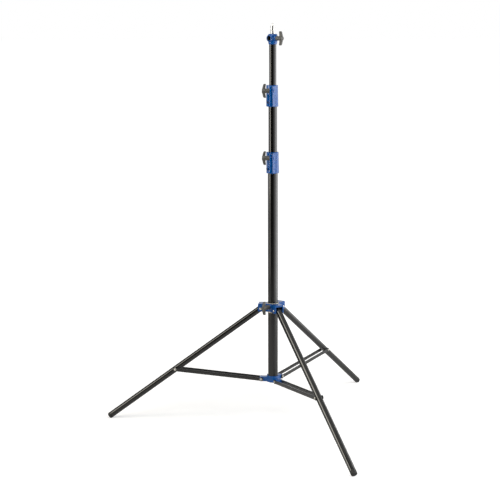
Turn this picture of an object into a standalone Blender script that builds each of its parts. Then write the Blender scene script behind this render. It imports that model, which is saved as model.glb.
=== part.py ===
"""A folding light stand: three round tubes that slide in one another, on a tripod base.

Metres, +Z up. The floor is z = 0, and the origin is the middle of the feet's box on it.
"""

import math

import bmesh
import bpy
from mathutils import Vector

NAME = "light_stand"

# Clearances
GAP = 0.0003
HOLE_GAP = 0.0004
SLIDE_GAP = 0.0003
STRUT_SIDE_GAP = 0.0005
LEG_SIDE_GAP = 0.0010

# How far a cutter runs past what it cuts, half a drill across an arm, the small turned edge of
# most pieces, and how far an eye stands proud of its arm, so that their faces don't coincide
PAST = 0.0100
ACROSS = 0.0300
EDGE = 0.0010
PROUD = 0.0001

# The three round tubes, outer radius and wall
BASE_TUBE_R = 0.0175
MIDDLE_TUBE_R = 0.0150
TOP_TUBE_R = 0.0125
TUBE_WALL = 0.0012
BASE_TUBE_TOP_Z = 0.9435
MIDDLE_TUBE_LENGTH = 0.820
TOP_TUBE_LENGTH = 0.836

# Legs
LEG_AZIMUTHS = (180.0, -60.0, 60.0)
LEG_TUBE_R = 0.0110
LEG_WALL = 0.0010
LEG_LENGTH = 0.6957
LEG_TILT = math.radians(36.73)
LEG_PIVOT_R = 0.0425
LEG_TOP_REACH = 0.0060
LEG_STRUT_JOINT = 0.3868
FOOT_CAP_LENGTH = 0.0120
FOOT_CAP_CORNER = 0.0030
FOOT_CAP_PLUG = 0.0130
FOOT_FLAT_DEPTH = 0.0009

# Lower hub, struts, and the pins; a pin head's dome is given in shares of its radius and height
HUB_PIVOT_R = 0.0418
HUB_PIVOT_DROP = 0.2600
HUB_RING_WALL = 0.0044
HUB_ABOVE_PIVOT = 0.0138
HUB_BELOW_PIVOT = 0.0100
HUB_LUG_R = 0.0080
HUB_SCREW_AZIMUTH = 138.0
HUB_SCREW_RISE = 0.0092
HUB_SCREW_R = 0.0028
HUB_SCREW_SHANK_R = 0.0020
HUB_SCREW_HEAD = 0.0065
STRUT_THICKNESS = 0.0030
STRUT_HEIGHT = 0.0120
STRUT_EYE_R = 0.0075
PIN_R = 0.0030
PIN_HEAD_R = 0.0043
PIN_HEAD_H = 0.0019
PIN_RIM_H = 0.45
PIN_DOME_R = 0.60
PIN_DOME_H = 0.85

# Leg collar; its arms start at a share of its bore, well inside it
COLLAR_RING_WALL = 0.0037
COLLAR_RING_HEIGHT = 0.0257
COLLAR_RING_LOW = -0.0092
COLLAR_ROOF_GAP = 0.0027
COLLAR_ARM_LOW = -0.0102
COLLAR_ARM_REACH = 0.0100
COLLAR_ARM_ROOT = 0.4
COLLAR_ARM_CORNER = 0.0045
COLLAR_WEB = 0.0058
COLLAR_CHEEK = 0.0050
COLLAR_BUSHING_WALL = 0.0022
COLLAR_BUSHING_HEIGHT = 0.0338
COLLAR_BUSHING_LOW = -0.0136
COLLAR_KNOB_AZIMUTH = -120.0
COLLAR_KNOB_Z = 0.0092
COLLAR_BOSS_R = 0.0078
COLLAR_BOSS_REACH = 0.0275

# Lock collars
LOCK_HEIGHT = 0.0745
LOCK_WALL_LOW = 0.0040
LOCK_WALL_TOP = 0.0025
LOCK_SEAT = 0.0380
LOCK_LIP = 0.0040
LOCK_LIP_GAP = 0.0008
LOCK_EDGE = 0.0012
LOCK_FLANK_INSET = 0.0006
LOCK_EAR_INSET = 0.0018
LOCK_SLIT = 0.0020
LOCK_LEFT_EAR = 0.0082
LOCK_RIGHT_EAR_TIP = 0.0028
LOCK_RIGHT_EAR_ROOT = 0.0088
LOCK_BOLT_OUT = 0.0100
LOCK_EAR_BEYOND = 0.0085
LOCK_THREAD_BOSS_R = 0.0062
LOCK_THREAD_BOSS = 0.0066
LOCK_FLANK_OUT = 0.0230
LOCK_FLANK_LESS = 0.0028
LOCK_FLANK_Y = 0.0030
LOCK_KNOB_DROP = 0.0187
LOCK_SCREW_AZIMUTH = -135.0
LOCK_SCREW_RISE = 0.0160
LOCK_SCREW_BOSS_R = 0.0046
LOCK_SCREW_BOSS = 0.0043
LOCK_SCREW_HEAD_R = 0.0030
LOCK_SCREW_HEAD = 0.0024
LOCK_SCREW_SUNK = 0.0010
LOCK_SCREW_R = 0.0018
UPPER_LOCK_Z = 1.1360

# Knobs and their studs
KNOB_NECK_R = 0.0082
KNOB_NECK_TIP_R = 0.0070
KNOB_BAR_HALF = 0.0238
KNOB_BAR_END = 0.0085
KNOB_BAR_MIDDLE = 0.0105
KNOB_BAR_WIDTH = 0.0095
KNOB_BAR_SWEEP = 0.0024
KNOB_BAR_CORNER = 0.0015
KNOB_BAR_STEPS = 8
KNOB_BOSS_R = 0.0076
KNOB_BOSS_PROUD = 0.0007
KNOB_EDGE = 0.0008
LOCK_KNOB_NECK = 0.0150
HEAD_KNOB_NECK = 0.0150
COLLAR_KNOB_NECK = 0.0235
STUD_R = 0.0038
STUD_IN_KNOB = 0.0100

# Head and spigot
HEAD_Z = 1.3480
HEAD_HEIGHT = 0.0352
HEAD_R = 0.0162
HEAD_SKIRT_DEPTH = 0.0065
HEAD_PLUG_LENGTH = 0.0190
HEAD_SOCKET_DEPTH = 0.0255
HEAD_CROSS_Z = 0.0205
HEAD_SHOULDER = 0.0050
HEAD_FOOT_R = 0.0142
HEAD_TAPER = 0.0100
HEAD_CROSS_AZIMUTH = -130.0
HEAD_CROSS_BOSS_R = 0.0112
HEAD_CROSS_REACH = 0.0195
HEAD_KNOB_AZIMUTH = -40.0
HEAD_KNOB_BOSS_R = 0.0086
HEAD_KNOB_REACH = 0.0195
HEAD_RIVET_AZIMUTH = -143.0
HEAD_RIVET_DROP = 0.0065
HEAD_RIVET_R = 0.0022
HEAD_RIVET_DEPTH = 0.0040
HEAD_RIVET_DOME = 0.0010
SPIGOT_R = 0.0080
SPIGOT_FLANGE_OUT = 0.0008
SPIGOT_FLANGE_H = 0.0040
SPIGOT_BODY_H = 0.0275
SPIGOT_WAIST_DEPTH = 0.0012
SPIGOT_WAIST_LOW = 0.0105
SPIGOT_WAIST_HIGH = 0.0200
SPIGOT_THREAD_R = 0.0031
SPIGOT_THREAD_H = 0.0080
SPIGOT_THREAD_EDGE = 0.0008

# Guides and plugs
GUIDE_HEIGHT = 0.0120
GUIDE_PLUG = 0.0120
GUIDE_BORE_R = 0.0040
BASE_PLUG_FLANGE = 0.0020
BASE_PLUG_DEPTH = 0.0140
LEG_PLUG_SHAFT = 0.0180
LEG_PLUG_CAP = 0.0020
LEG_PLUG_ROUND = 0.0024

# Facets round each kind of piece
TUBE_SIDES = 40
LEG_SIDES = 28
SOCKET_SIDES = 28
SMALL_SIDES = 20
PIN_SIDES = 12

# Worked out from the sizes above
TILT_COS = math.cos(LEG_TILT)
TILT_SIN = math.sin(LEG_TILT)
FOOT_END_Z = (
    (LEG_TUBE_R - FOOT_CAP_CORNER) * TILT_COS
    - FOOT_CAP_CORNER * TILT_SIN
    + FOOT_CAP_CORNER
    - FOOT_FLAT_DEPTH
)
LEG_PIVOT_Z = FOOT_END_Z + LEG_LENGTH * TILT_SIN
FOOT_RADIUS = LEG_PIVOT_R + LEG_LENGTH * TILT_COS
COLUMN_X = FOOT_RADIUS * (1.0 - math.cos(math.radians(60.0))) / 2.0
HUB_PIVOT_Z = LEG_PIVOT_Z - HUB_PIVOT_DROP
JOINT_R = LEG_PIVOT_R + LEG_STRUT_JOINT * TILT_COS
JOINT_Z = LEG_PIVOT_Z - LEG_STRUT_JOINT * TILT_SIN
STRUT_LENGTH = math.hypot(JOINT_R - HUB_PIVOT_R, JOINT_Z - HUB_PIVOT_Z)
STRUT_RISE = math.atan2(JOINT_Z - HUB_PIVOT_Z, JOINT_R - HUB_PIVOT_R)
STRUT_INNER = LEG_TUBE_R + STRUT_SIDE_GAP
STRUT_OUTER = STRUT_INNER + STRUT_THICKNESS
HUB_RING_R = BASE_TUBE_R + GAP + HUB_RING_WALL
HUB_BOTTOM_Z = HUB_PIVOT_Z - HUB_BELOW_PIVOT
HUB_TOP_Z = HUB_PIVOT_Z + HUB_ABOVE_PIVOT
BASE_TUBE_INNER = BASE_TUBE_R - TUBE_WALL
MIDDLE_TUBE_INNER = MIDDLE_TUBE_R - TUBE_WALL
TOP_TUBE_INNER = TOP_TUBE_R - TUBE_WALL
LOWER_LOCK_Z = BASE_TUBE_TOP_Z - LOCK_SEAT
LEG_GAP_HALF = LEG_TUBE_R + LEG_SIDE_GAP
ARM_HALF = LEG_GAP_HALF + COLLAR_CHEEK
COLLAR_ROOF = LEG_TUBE_R + COLLAR_ROOF_GAP
COLLAR_ARM_TOP = COLLAR_ROOF + COLLAR_WEB
SPIGOT_FLANGE_R = SPIGOT_R + SPIGOT_FLANGE_OUT
SPIGOT_WAIST_R = SPIGOT_R - SPIGOT_WAIST_DEPTH


def tidy_scene():
    """Removes what the file opened with, and makes the two collections."""
    for old in list(bpy.data.objects):
        bpy.data.objects.remove(old, do_unlink=True)
    parts = bpy.data.collections.new(NAME)
    cutters = bpy.data.collections.new(NAME + "_cutters")
    for collection in (parts, cutters):
        bpy.context.scene.collection.children.link(collection)
    cutters.hide_render = True
    return parts, cutters


PARTS, CUTTERS = tidy_scene()


def material(name, colour, roughness, metallic):
    made = bpy.data.materials.new(name)
    made.use_nodes = True
    shader = made.node_tree.nodes["Principled BSDF"]
    shader.inputs["Base Color"].default_value = (*colour, 1.0)
    shader.inputs["Roughness"].default_value = roughness
    shader.inputs["Metallic"].default_value = metallic
    return made


TUBE_FINISH = material("gunmetal_tube", (0.030, 0.030, 0.028), 0.22, 0.6)
CASTING_FINISH = material("blue_casting", (0.004, 0.070, 0.330), 0.25, 0.2)
STRUT_FINISH = material("black_strut", (0.028, 0.028, 0.027), 0.35, 0.4)
KNOB_FINISH = material("grey_plastic", (0.070, 0.066, 0.058), 0.50, 0.0)
NYLON_FINISH = material("pale_nylon", (0.780, 0.740, 0.610), 0.45, 0.0)
BLACK_FINISH = material("black_plastic", (0.018, 0.018, 0.017), 0.50, 0.0)
STEEL_FINISH = material("bright_steel", (0.680, 0.670, 0.640), 0.25, 1.0)
CHROME_FINISH = material("chrome", (0.780, 0.780, 0.770), 0.10, 1.0)
DARK_STEEL_FINISH = material("dark_steel", (0.050, 0.050, 0.050), 0.35, 0.9)


def empty(name, location, rotation=(0.0, 0.0, 0.0), parent=None):
    """An empty on a joint's axis, or on the column's."""
    made = bpy.data.objects.new(name, None)
    made.empty_display_size = PAST
    made.location = location
    made.rotation_euler = rotation
    made.parent = parent
    PARTS.objects.link(made)
    return made


def piece(name, mesh, finish, parent, location=(0, 0, 0), rotation=(0, 0, 0)):
    """One named sub-part with its own material."""
    made = bpy.data.objects.new(name, mesh)
    mesh.materials.clear()
    mesh.materials.append(finish)
    made.parent = parent
    made.location = location
    made.rotation_euler = rotation
    PARTS.objects.link(made)
    return made


def cutter(name, mesh, parent, location=(0, 0, 0), rotation=(0, 0, 0)):
    """A guide shape that cuts or joins a piece, and isn't a sub-part."""
    made = bpy.data.objects.new(name, mesh)
    made.parent = parent
    made.location = location
    made.rotation_euler = rotation
    made.hide_render = True
    made.display_type = "WIRE"
    CUTTERS.objects.link(made)
    return made


def boolean(target, other, operation="DIFFERENCE"):
    modifier = target.modifiers.new(operation.lower() + "_" + other.name, "BOOLEAN")
    modifier.operation = operation
    modifier.solver = "EXACT"
    modifier.object = other


def shade(mesh, angle=35.0):
    mesh.shade_smooth()
    mesh.set_sharp_from_angle(angle=math.radians(angle))


def block_mesh(name, low, high):
    """A box between two corners."""
    low = Vector(low)
    high = Vector(high)
    shape = bmesh.new()
    bmesh.ops.create_cube(shape, size=1.0)
    bmesh.ops.scale(shape, vec=high - low, verts=shape.verts)
    bmesh.ops.translate(shape, vec=(low + high) / 2.0, verts=shape.verts)
    mesh = bpy.data.meshes.new(name)
    shape.to_mesh(mesh)
    shape.free()
    shade(mesh)
    return mesh


def cylinder_mesh(name, radius, low, high, sides=SMALL_SIDES):
    """A cylinder on local Z from low to high."""
    shape = bmesh.new()
    bmesh.ops.create_cone(
        shape,
        cap_ends=True,
        segments=sides,
        radius1=radius,
        radius2=radius,
        depth=high - low,
    )
    bmesh.ops.translate(shape, vec=(0, 0, (low + high) / 2.0), verts=shape.verts)
    mesh = bpy.data.meshes.new(name)
    shape.to_mesh(mesh)
    shape.free()
    shade(mesh)
    return mesh


def profile_mesh(name, profile, closed):
    """The edges of a turned shape: (radius, height) points, from the top down its outer side."""
    mesh = bpy.data.meshes.new(name)
    count = len(profile)
    edges = [(i, i + 1) for i in range(count - 1)]
    if closed:
        edges.append((count - 1, 0))
    mesh.from_pydata([(radius, 0.0, height) for radius, height in profile], edges, [])
    return mesh


def turn(target, sides):
    """Turns the target's profile about its local Z."""
    modifier = target.modifiers.new("turn", "SCREW")
    modifier.axis = "Z"
    modifier.angle = math.tau
    modifier.screw_offset = 0.0
    modifier.steps = sides
    modifier.render_steps = sides
    modifier.use_merge_vertices = True
    modifier.merge_threshold = 0.00001
    modifier.use_smooth_shade = True


def arc(centre, radius, first, last, steps):
    """Points of an arc in a plane, from one angle to another, in degrees."""
    points = []
    for step in range(steps + 1):
        angle = math.radians(first + (last - first) * step / steps)
        points.append((centre[0] + radius * math.cos(angle), centre[1] + radius * math.sin(angle)))
    return points


def plate_mesh(name, outlines, thickness):
    """A flat outline in local XY, its holes being further outlines, of the given thickness."""
    curve = bpy.data.curves.new(name, "CURVE")
    curve.dimensions = "2D"
    curve.fill_mode = "BOTH"
    curve.extrude = thickness / 2.0
    for outline in outlines:
        spline = curve.splines.new("POLY")
        spline.points.add(len(outline) - 1)
        for point, (x, y) in zip(spline.points, outline):
            point.co = (x, y, 0.0, 1.0)
        spline.use_cyclic_u = True
    flat = bpy.data.objects.new(name, curve)
    bpy.context.scene.collection.objects.link(flat)
    graph = bpy.context.evaluated_depsgraph_get()
    mesh = bpy.data.meshes.new_from_object(flat.evaluated_get(graph))
    bpy.data.objects.remove(flat, do_unlink=True)
    bpy.data.curves.remove(curve)
    shape = bmesh.new()
    shape.from_mesh(mesh)
    bmesh.ops.remove_doubles(shape, verts=shape.verts, dist=0.000001)
    shape.to_mesh(mesh)
    shape.free()
    mesh.name = name
    shade(mesh)
    return mesh


def turned(name, profile, finish, parent, closed=False, sides=TUBE_SIDES, **place):
    """A turned sub-part."""
    made = piece(name, profile_mesh(name, profile, closed), finish, parent, **place)
    turn(made, sides)
    return made


def sleeve(name, outer, inner, low, high, finish, parent, **place):
    """A plain hollow tube on local Z."""
    loop = [(outer, high), (outer, low), (inner, low), (inner, high)]
    return turned(name, loop, finish, parent, closed=True, **place)


def drill(target, radius, low, high, parent, location, rotation, sides=SMALL_SIDES):
    """Cuts a round hole along the local Z of the given place."""
    hole = cutter(
        target.name + "_hole",
        cylinder_mesh(target.name + "_hole", radius, low, high, sides),
        parent,
        location,
        rotation,
    )
    boolean(target, hole)


def add(target, mesh, parent, location=(0, 0, 0), rotation=(0, 0, 0)):
    """Joins another shape to the target."""
    other = cutter(mesh.name, mesh, parent, location, rotation)
    boolean(target, other, "UNION")


def cut(target, mesh, parent, location=(0, 0, 0), rotation=(0, 0, 0)):
    """Cuts another shape out of the target."""
    other = cutter(mesh.name, mesh, parent, location, rotation)
    boolean(target, other)


# Turns of a shape that is made on local Z
ALONG_X = (0.0, math.radians(90.0), 0.0)
ALONG_Y = (math.radians(-90.0), 0.0, 0.0)
UPRIGHT = (math.radians(90.0), 0.0, 0.0)

# Turns a bore by half a facet, so that its corners miss those of the shape that it cuts
HALF_FACET = (0.0, 0.0, math.pi / TUBE_SIDES)


def outward(azimuth):
    """The rotation that lays local Z level, pointing along an azimuth from +X."""
    return (0.0, math.radians(90.0), math.radians(azimuth))


def level(azimuth, radius, height):
    """A point at a radius and height from the column, along an azimuth from +X."""
    angle = math.radians(azimuth)
    return (radius * math.cos(angle), radius * math.sin(angle), height)


COLUMN = empty("column_axis", (COLUMN_X, 0.0, 0.0))


def pin_profile(half, radius, head_radius, head_height):
    """A rivet with a domed head at both ends, centred on its middle."""
    rim = head_height * PIN_RIM_H
    inner = head_radius * PIN_DOME_R
    shoulder = head_height * PIN_DOME_H
    return [
        (0.0, half + head_height),
        (inner, half + shoulder),
        (head_radius, half + rim),
        (head_radius, half),
        (radius, half),
        (radius, -half),
        (head_radius, -half),
        (head_radius, -half - rim),
        (inner, -half - shoulder),
        (0.0, -half - head_height),
    ]


def base_section():
    """The lowest tube, its foot's plug inside the hub, and the lower lock collar on its top."""
    low = HUB_BOTTOM_Z + BASE_PLUG_FLANGE + GAP
    top = BASE_TUBE_TOP_Z
    tube = sleeve("base_tube", BASE_TUBE_R, BASE_TUBE_INNER, low, top, TUBE_FINISH, COLUMN)
    plug_r = BASE_TUBE_INNER - GAP
    profile = [
        (0.0, low + BASE_PLUG_DEPTH),
        (plug_r - EDGE, low + BASE_PLUG_DEPTH),
        (plug_r, low + BASE_PLUG_DEPTH - EDGE),
        (plug_r, low - GAP),
        (BASE_TUBE_R, low - GAP),
        (BASE_TUBE_R, HUB_BOTTOM_Z),
        (0.0, HUB_BOTTOM_Z),
    ]
    turned("base_tube_plug", profile, BLACK_FINISH, COLUMN)
    place = empty("lower_lock_place", (0.0, 0.0, LOWER_LOCK_Z), (0, 0, 0), COLUMN)
    lock_collar("lower_lock", BASE_TUBE_R, MIDDLE_TUBE_R, place, tube)


def lower_hub():
    """A ring round the foot of the base tube, with a lug and a pin for each pair of strut bars."""
    bore = BASE_TUBE_R + GAP
    low = HUB_BOTTOM_Z + GAP
    ring = [
        (0.0, HUB_TOP_Z),
        (HUB_RING_R - EDGE, HUB_TOP_Z),
        (HUB_RING_R, HUB_TOP_Z - EDGE),
        (HUB_RING_R, low + EDGE),
        (HUB_RING_R - EDGE, low),
        (0.0, low),
    ]
    hub = turned("lower_hub", ring, CASTING_FINISH, COLUMN)
    lug_half = STRUT_INNER - GAP
    for number, azimuth in enumerate(LEG_AZIMUTHS, 1):
        turn_to = (0.0, 0.0, math.radians(azimuth))
        arm = block_mesh(
            f"hub_lug_{number}",
            (bore * 0.5, -lug_half, -HUB_LUG_R),
            (HUB_PIVOT_R, lug_half, HUB_LUG_R),
        )
        add(hub, arm, COLUMN, (0, 0, HUB_PIVOT_Z), turn_to)
        eye = cylinder_mesh(f"hub_eye_{number}", HUB_LUG_R + PROUD, -lug_half, lug_half)
        sideways = (math.radians(-90.0), 0.0, math.radians(azimuth))
        spot = level(azimuth, HUB_PIVOT_R, HUB_PIVOT_Z)
        add(hub, eye, COLUMN, spot, sideways)
        drill(hub, PIN_R + HOLE_GAP, -ACROSS, ACROSS, COLUMN, spot, sideways, PIN_SIDES)
        turned(
            f"hub_pin_{number}",
            pin_profile(STRUT_OUTER + GAP, PIN_R, PIN_HEAD_R, PIN_HEAD_H),
            STEEL_FINISH,
            COLUMN,
            sides=PIN_SIDES,
            location=spot,
            rotation=sideways,
        )
    opening = cylinder_mesh("hub_bore", bore, low - PAST, HUB_TOP_Z + PAST, TUBE_SIDES)
    cut(hub, opening, COLUMN, rotation=HALF_FACET)
    screw_z = HUB_PIVOT_Z + HUB_SCREW_RISE
    drill(
        hub,
        HUB_SCREW_SHANK_R + HOLE_GAP,
        bore - PAST / 2.0,
        HUB_RING_R + PAST / 2.0,
        COLUMN,
        (0, 0, screw_z),
        outward(HUB_SCREW_AZIMUTH),
        PIN_SIDES,
    )
    head = HUB_RING_R + GAP
    profile = [
        (0.0, head + HUB_SCREW_HEAD),
        (HUB_SCREW_R, head + HUB_SCREW_HEAD - EDGE),
        (HUB_SCREW_R, head),
        (HUB_SCREW_SHANK_R, head),
        (HUB_SCREW_SHANK_R, BASE_TUBE_R + GAP),
        (0.0, BASE_TUBE_R + GAP),
    ]
    turned(
        "hub_screw",
        profile,
        DARK_STEEL_FINISH,
        COLUMN,
        sides=PIN_SIDES,
        location=(0, 0, screw_z),
        rotation=outward(HUB_SCREW_AZIMUTH),
    )


def strut_outline():
    """The outline of one bar: a narrow middle between two round eyes, with a hole in each."""
    half = STRUT_HEIGHT / 2.0
    start = math.degrees(math.asin(half / STRUT_EYE_R))
    outline = arc((STRUT_LENGTH, 0.0), STRUT_EYE_R, start - 180.0, 180.0 - start, 14)
    outline += arc((0.0, 0.0), STRUT_EYE_R, start, 360.0 - start, 14)
    hole = PIN_R + HOLE_GAP
    return [
        outline,
        arc((0.0, 0.0), hole, 0.0, 337.5, 15),
        arc((STRUT_LENGTH, 0.0), hole, 0.0, 337.5, 15),
    ]


def struts():
    """Three pairs of flat bars, each turning on its hub pin, with a rivet into the leg's side."""
    bar = plate_mesh("strut_bar", strut_outline(), STRUT_THICKNESS)
    middle = (STRUT_INNER + STRUT_OUTER) / 2.0
    inner = LEG_TUBE_R + GAP
    outer = STRUT_OUTER + GAP
    half_rivet = [
        (0.0, outer + PIN_HEAD_H),
        (PIN_HEAD_R * PIN_DOME_R, outer + PIN_HEAD_H * PIN_DOME_H),
        (PIN_HEAD_R, outer + PIN_HEAD_H * PIN_RIM_H),
        (PIN_HEAD_R, outer),
        (PIN_R, outer),
        (PIN_R, inner),
        (0.0, inner),
    ]
    for number, azimuth in enumerate(LEG_AZIMUTHS, 1):
        hinge = empty(
            f"strut_{number}_hinge",
            level(azimuth, HUB_PIVOT_R, HUB_PIVOT_Z),
            (0.0, -STRUT_RISE, math.radians(azimuth)),
            COLUMN,
        )
        for side, letter in ((-1.0, "a"), (1.0, "b")):
            piece(
                f"strut_bar_{number}{letter}",
                bar,
                STRUT_FINISH,
                hinge,
                (0.0, side * middle, 0.0),
                UPRIGHT,
            )
            turned(
                f"strut_rivet_{number}{letter}",
                half_rivet,
                STEEL_FINISH,
                hinge,
                sides=PIN_SIDES,
                location=(STRUT_LENGTH, 0.0, 0.0),
                rotation=(math.radians(-90.0 * side), 0.0, 0.0),
            )


def legs():
    """Three round legs, each with a nylon plug at its pivot and a cap as its foot."""
    inner = LEG_TUBE_R - LEG_WALL
    plug_r = inner - GAP
    tube_end = LEG_LENGTH - FOOT_CAP_LENGTH
    side = 2.0 * FOOT_RADIUS
    floor = block_mesh("floor_cut", (-side, -side, -5.0 * PAST), (side, side, 0.0))
    for number, azimuth in enumerate(LEG_AZIMUTHS, 1):
        spot = level(azimuth, LEG_PIVOT_R, LEG_PIVOT_Z)
        turn_to = (0.0, LEG_TILT, math.radians(azimuth))
        hinge = empty(f"leg_{number}_hinge", spot, turn_to, COLUMN)
        tube = sleeve(
            f"leg_tube_{number}",
            LEG_TUBE_R,
            inner,
            -LEG_TOP_REACH,
            tube_end - GAP,
            TUBE_FINISH,
            hinge,
            sides=LEG_SIDES,
            rotation=ALONG_X,
        )
        drill(tube, PIN_R + HOLE_GAP, -ACROSS, ACROSS, hinge, (0, 0, 0), ALONG_Y, PIN_SIDES)
        top = -LEG_TOP_REACH - GAP
        profile = [
            (0.0, LEG_PLUG_SHAFT - LEG_TOP_REACH),
            (plug_r, LEG_PLUG_SHAFT - LEG_TOP_REACH),
            (plug_r, top),
            (LEG_TUBE_R, top),
            (LEG_TUBE_R - LEG_PLUG_ROUND / 4.0, top - LEG_PLUG_CAP / 2.0),
            (LEG_TUBE_R - LEG_PLUG_ROUND, top - LEG_PLUG_CAP),
            (0.0, top - LEG_PLUG_CAP),
        ]
        plug = turned(
            f"leg_top_plug_{number}",
            profile,
            BLACK_FINISH,
            hinge,
            sides=LEG_SIDES,
            rotation=ALONG_X,
        )
        drill(plug, PIN_R + HOLE_GAP, -ACROSS, ACROSS, hinge, (0, 0, 0), ALONG_Y, PIN_SIDES)
        centre = (LEG_LENGTH - FOOT_CAP_CORNER, LEG_TUBE_R - FOOT_CAP_CORNER)
        corner = [
            (radius, along)
            for along, radius in arc(centre, FOOT_CAP_CORNER, 0.0, 90.0, 5)
        ]
        profile = [(0.0, LEG_LENGTH)] + corner
        profile += [
            (LEG_TUBE_R, tube_end),
            (plug_r, tube_end),
            (plug_r, tube_end - FOOT_CAP_PLUG),
            (0.0, tube_end - FOOT_CAP_PLUG),
        ]
        cap = turned(
            f"foot_cap_{number}",
            profile,
            BLACK_FINISH,
            hinge,
            sides=LEG_SIDES,
            rotation=ALONG_X,
        )
        cut(cap, floor, None)


def arm_outline(root, reach):
    """The side view of one arm of the leg collar, with rounded outer corners."""
    corner = COLLAR_ARM_CORNER
    low_centre = (reach - corner, COLLAR_ARM_LOW + corner)
    high_centre = (reach - corner, COLLAR_ARM_TOP - corner)
    return (
        [(root, COLLAR_ARM_LOW)]
        + arc(low_centre, corner, -90.0, 0.0, 4)
        + arc(high_centre, corner, 0.0, 90.0, 4)
        + [(root, COLLAR_ARM_TOP)]
    )


def leg_collar():
    """The sliding collar: a ring on a nylon bushing, and three forked arms for the legs."""
    bushing_inner = BASE_TUBE_R + SLIDE_GAP
    bushing_outer = bushing_inner + COLLAR_BUSHING_WALL
    bore = bushing_outer + GAP
    ring_r = bore + COLLAR_RING_WALL
    slide = empty("leg_collar_slide", (0.0, 0.0, LEG_PIVOT_Z), (0, 0, 0), COLUMN)
    low = COLLAR_RING_LOW
    high = low + COLLAR_RING_HEIGHT
    profile = [
        (0.0, high),
        (ring_r - EDGE, high),
        (ring_r, high - EDGE),
        (ring_r, low + EDGE),
        (ring_r - EDGE, low),
        (0.0, low),
    ]
    collar = turned("leg_collar", profile, CASTING_FINISH, slide)
    reach = LEG_PIVOT_R + COLLAR_ARM_REACH
    for number, azimuth in enumerate(LEG_AZIMUTHS, 1):
        sideways = (math.radians(90.0), 0.0, math.radians(azimuth))
        side_view = arm_outline(bore * COLLAR_ARM_ROOT, reach)
        arm = plate_mesh(f"collar_arm_{number}", [side_view], 2.0 * ARM_HALF)
        add(collar, arm, slide, (0, 0, 0), sideways)
    for number, azimuth in enumerate(LEG_AZIMUTHS, 1):
        turn_to = (0.0, 0.0, math.radians(azimuth))
        pocket = block_mesh(
            f"collar_pocket_{number}",
            (ring_r + EDGE, -LEG_GAP_HALF, COLLAR_ARM_LOW - PAST),
            (reach + PAST, LEG_GAP_HALF, COLLAR_ROOF),
        )
        cut(collar, pocket, slide, (0, 0, 0), turn_to)
        sideways = (math.radians(-90.0), 0.0, math.radians(azimuth))
        spot = level(azimuth, LEG_PIVOT_R, 0.0)
        drill(collar, PIN_R + HOLE_GAP, -ACROSS, ACROSS, slide, spot, sideways, PIN_SIDES)
        turned(
            f"leg_pin_{number}",
            pin_profile(ARM_HALF + GAP, PIN_R, PIN_HEAD_R, PIN_HEAD_H),
            STEEL_FINISH,
            slide,
            sides=PIN_SIDES,
            location=spot,
            rotation=sideways,
        )
    knob_spot = (0.0, 0.0, COLLAR_KNOB_Z)
    toward = outward(COLLAR_KNOB_AZIMUTH)
    boss = cylinder_mesh("collar_boss", COLLAR_BOSS_R, bore * 0.8, COLLAR_BOSS_REACH)
    add(collar, boss, slide, knob_spot, toward)
    opening = cylinder_mesh("collar_bore", bore, -5.0 * PAST, 5.0 * PAST, TUBE_SIDES)
    cut(collar, opening, slide, rotation=HALF_FACET)
    drill(collar, STUD_R + HOLE_GAP, PAST, 5.0 * PAST, slide, knob_spot, toward)
    sleeve(
        "leg_collar_bushing",
        bushing_outer,
        bushing_inner,
        COLLAR_BUSHING_LOW,
        COLLAR_BUSHING_LOW + COLLAR_BUSHING_HEIGHT,
        NYLON_FINISH,
        slide,
    )
    hinge = empty(
        "leg_collar_knob_axis",
        level(COLLAR_KNOB_AZIMUTH, COLLAR_BOSS_REACH + GAP, COLLAR_KNOB_Z),
        (0.0, 0.0, math.radians(COLLAR_KNOB_AZIMUTH)),
        slide,
    )
    reach_in = COLLAR_BOSS_REACH + GAP - bushing_outer - 2.0 * GAP
    t_knob("leg_collar", hinge, COLLAR_KNOB_NECK, reach_in)


def knob_outline(neck):
    """The outline of a T-knob's bar, along local X and across it: swept ends, thick middle."""
    inner_tip = neck - KNOB_BAR_SWEEP
    outer_tip = inner_tip + KNOB_BAR_END
    outer_rise = KNOB_BAR_SWEEP + KNOB_BAR_MIDDLE - KNOB_BAR_END
    flat_half = KNOB_BAR_HALF - KNOB_BAR_CORNER
    across = [-1.0 + 2.0 * step / KNOB_BAR_STEPS for step in range(KNOB_BAR_STEPS + 1)]
    outer = [(outer_tip + outer_rise * (1.0 - at * at), at * flat_half) for at in across]
    inner = [(inner_tip + KNOB_BAR_SWEEP * (1.0 - at * at), -at * flat_half) for at in across]
    return (
        outer
        + [(outer_tip - KNOB_BAR_CORNER, KNOB_BAR_HALF), (inner_tip + KNOB_BAR_CORNER, KNOB_BAR_HALF)]
        + inner
        + [(inner_tip + KNOB_BAR_CORNER, -KNOB_BAR_HALF), (outer_tip - KNOB_BAR_CORNER, -KNOB_BAR_HALF)]
    )


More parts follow.
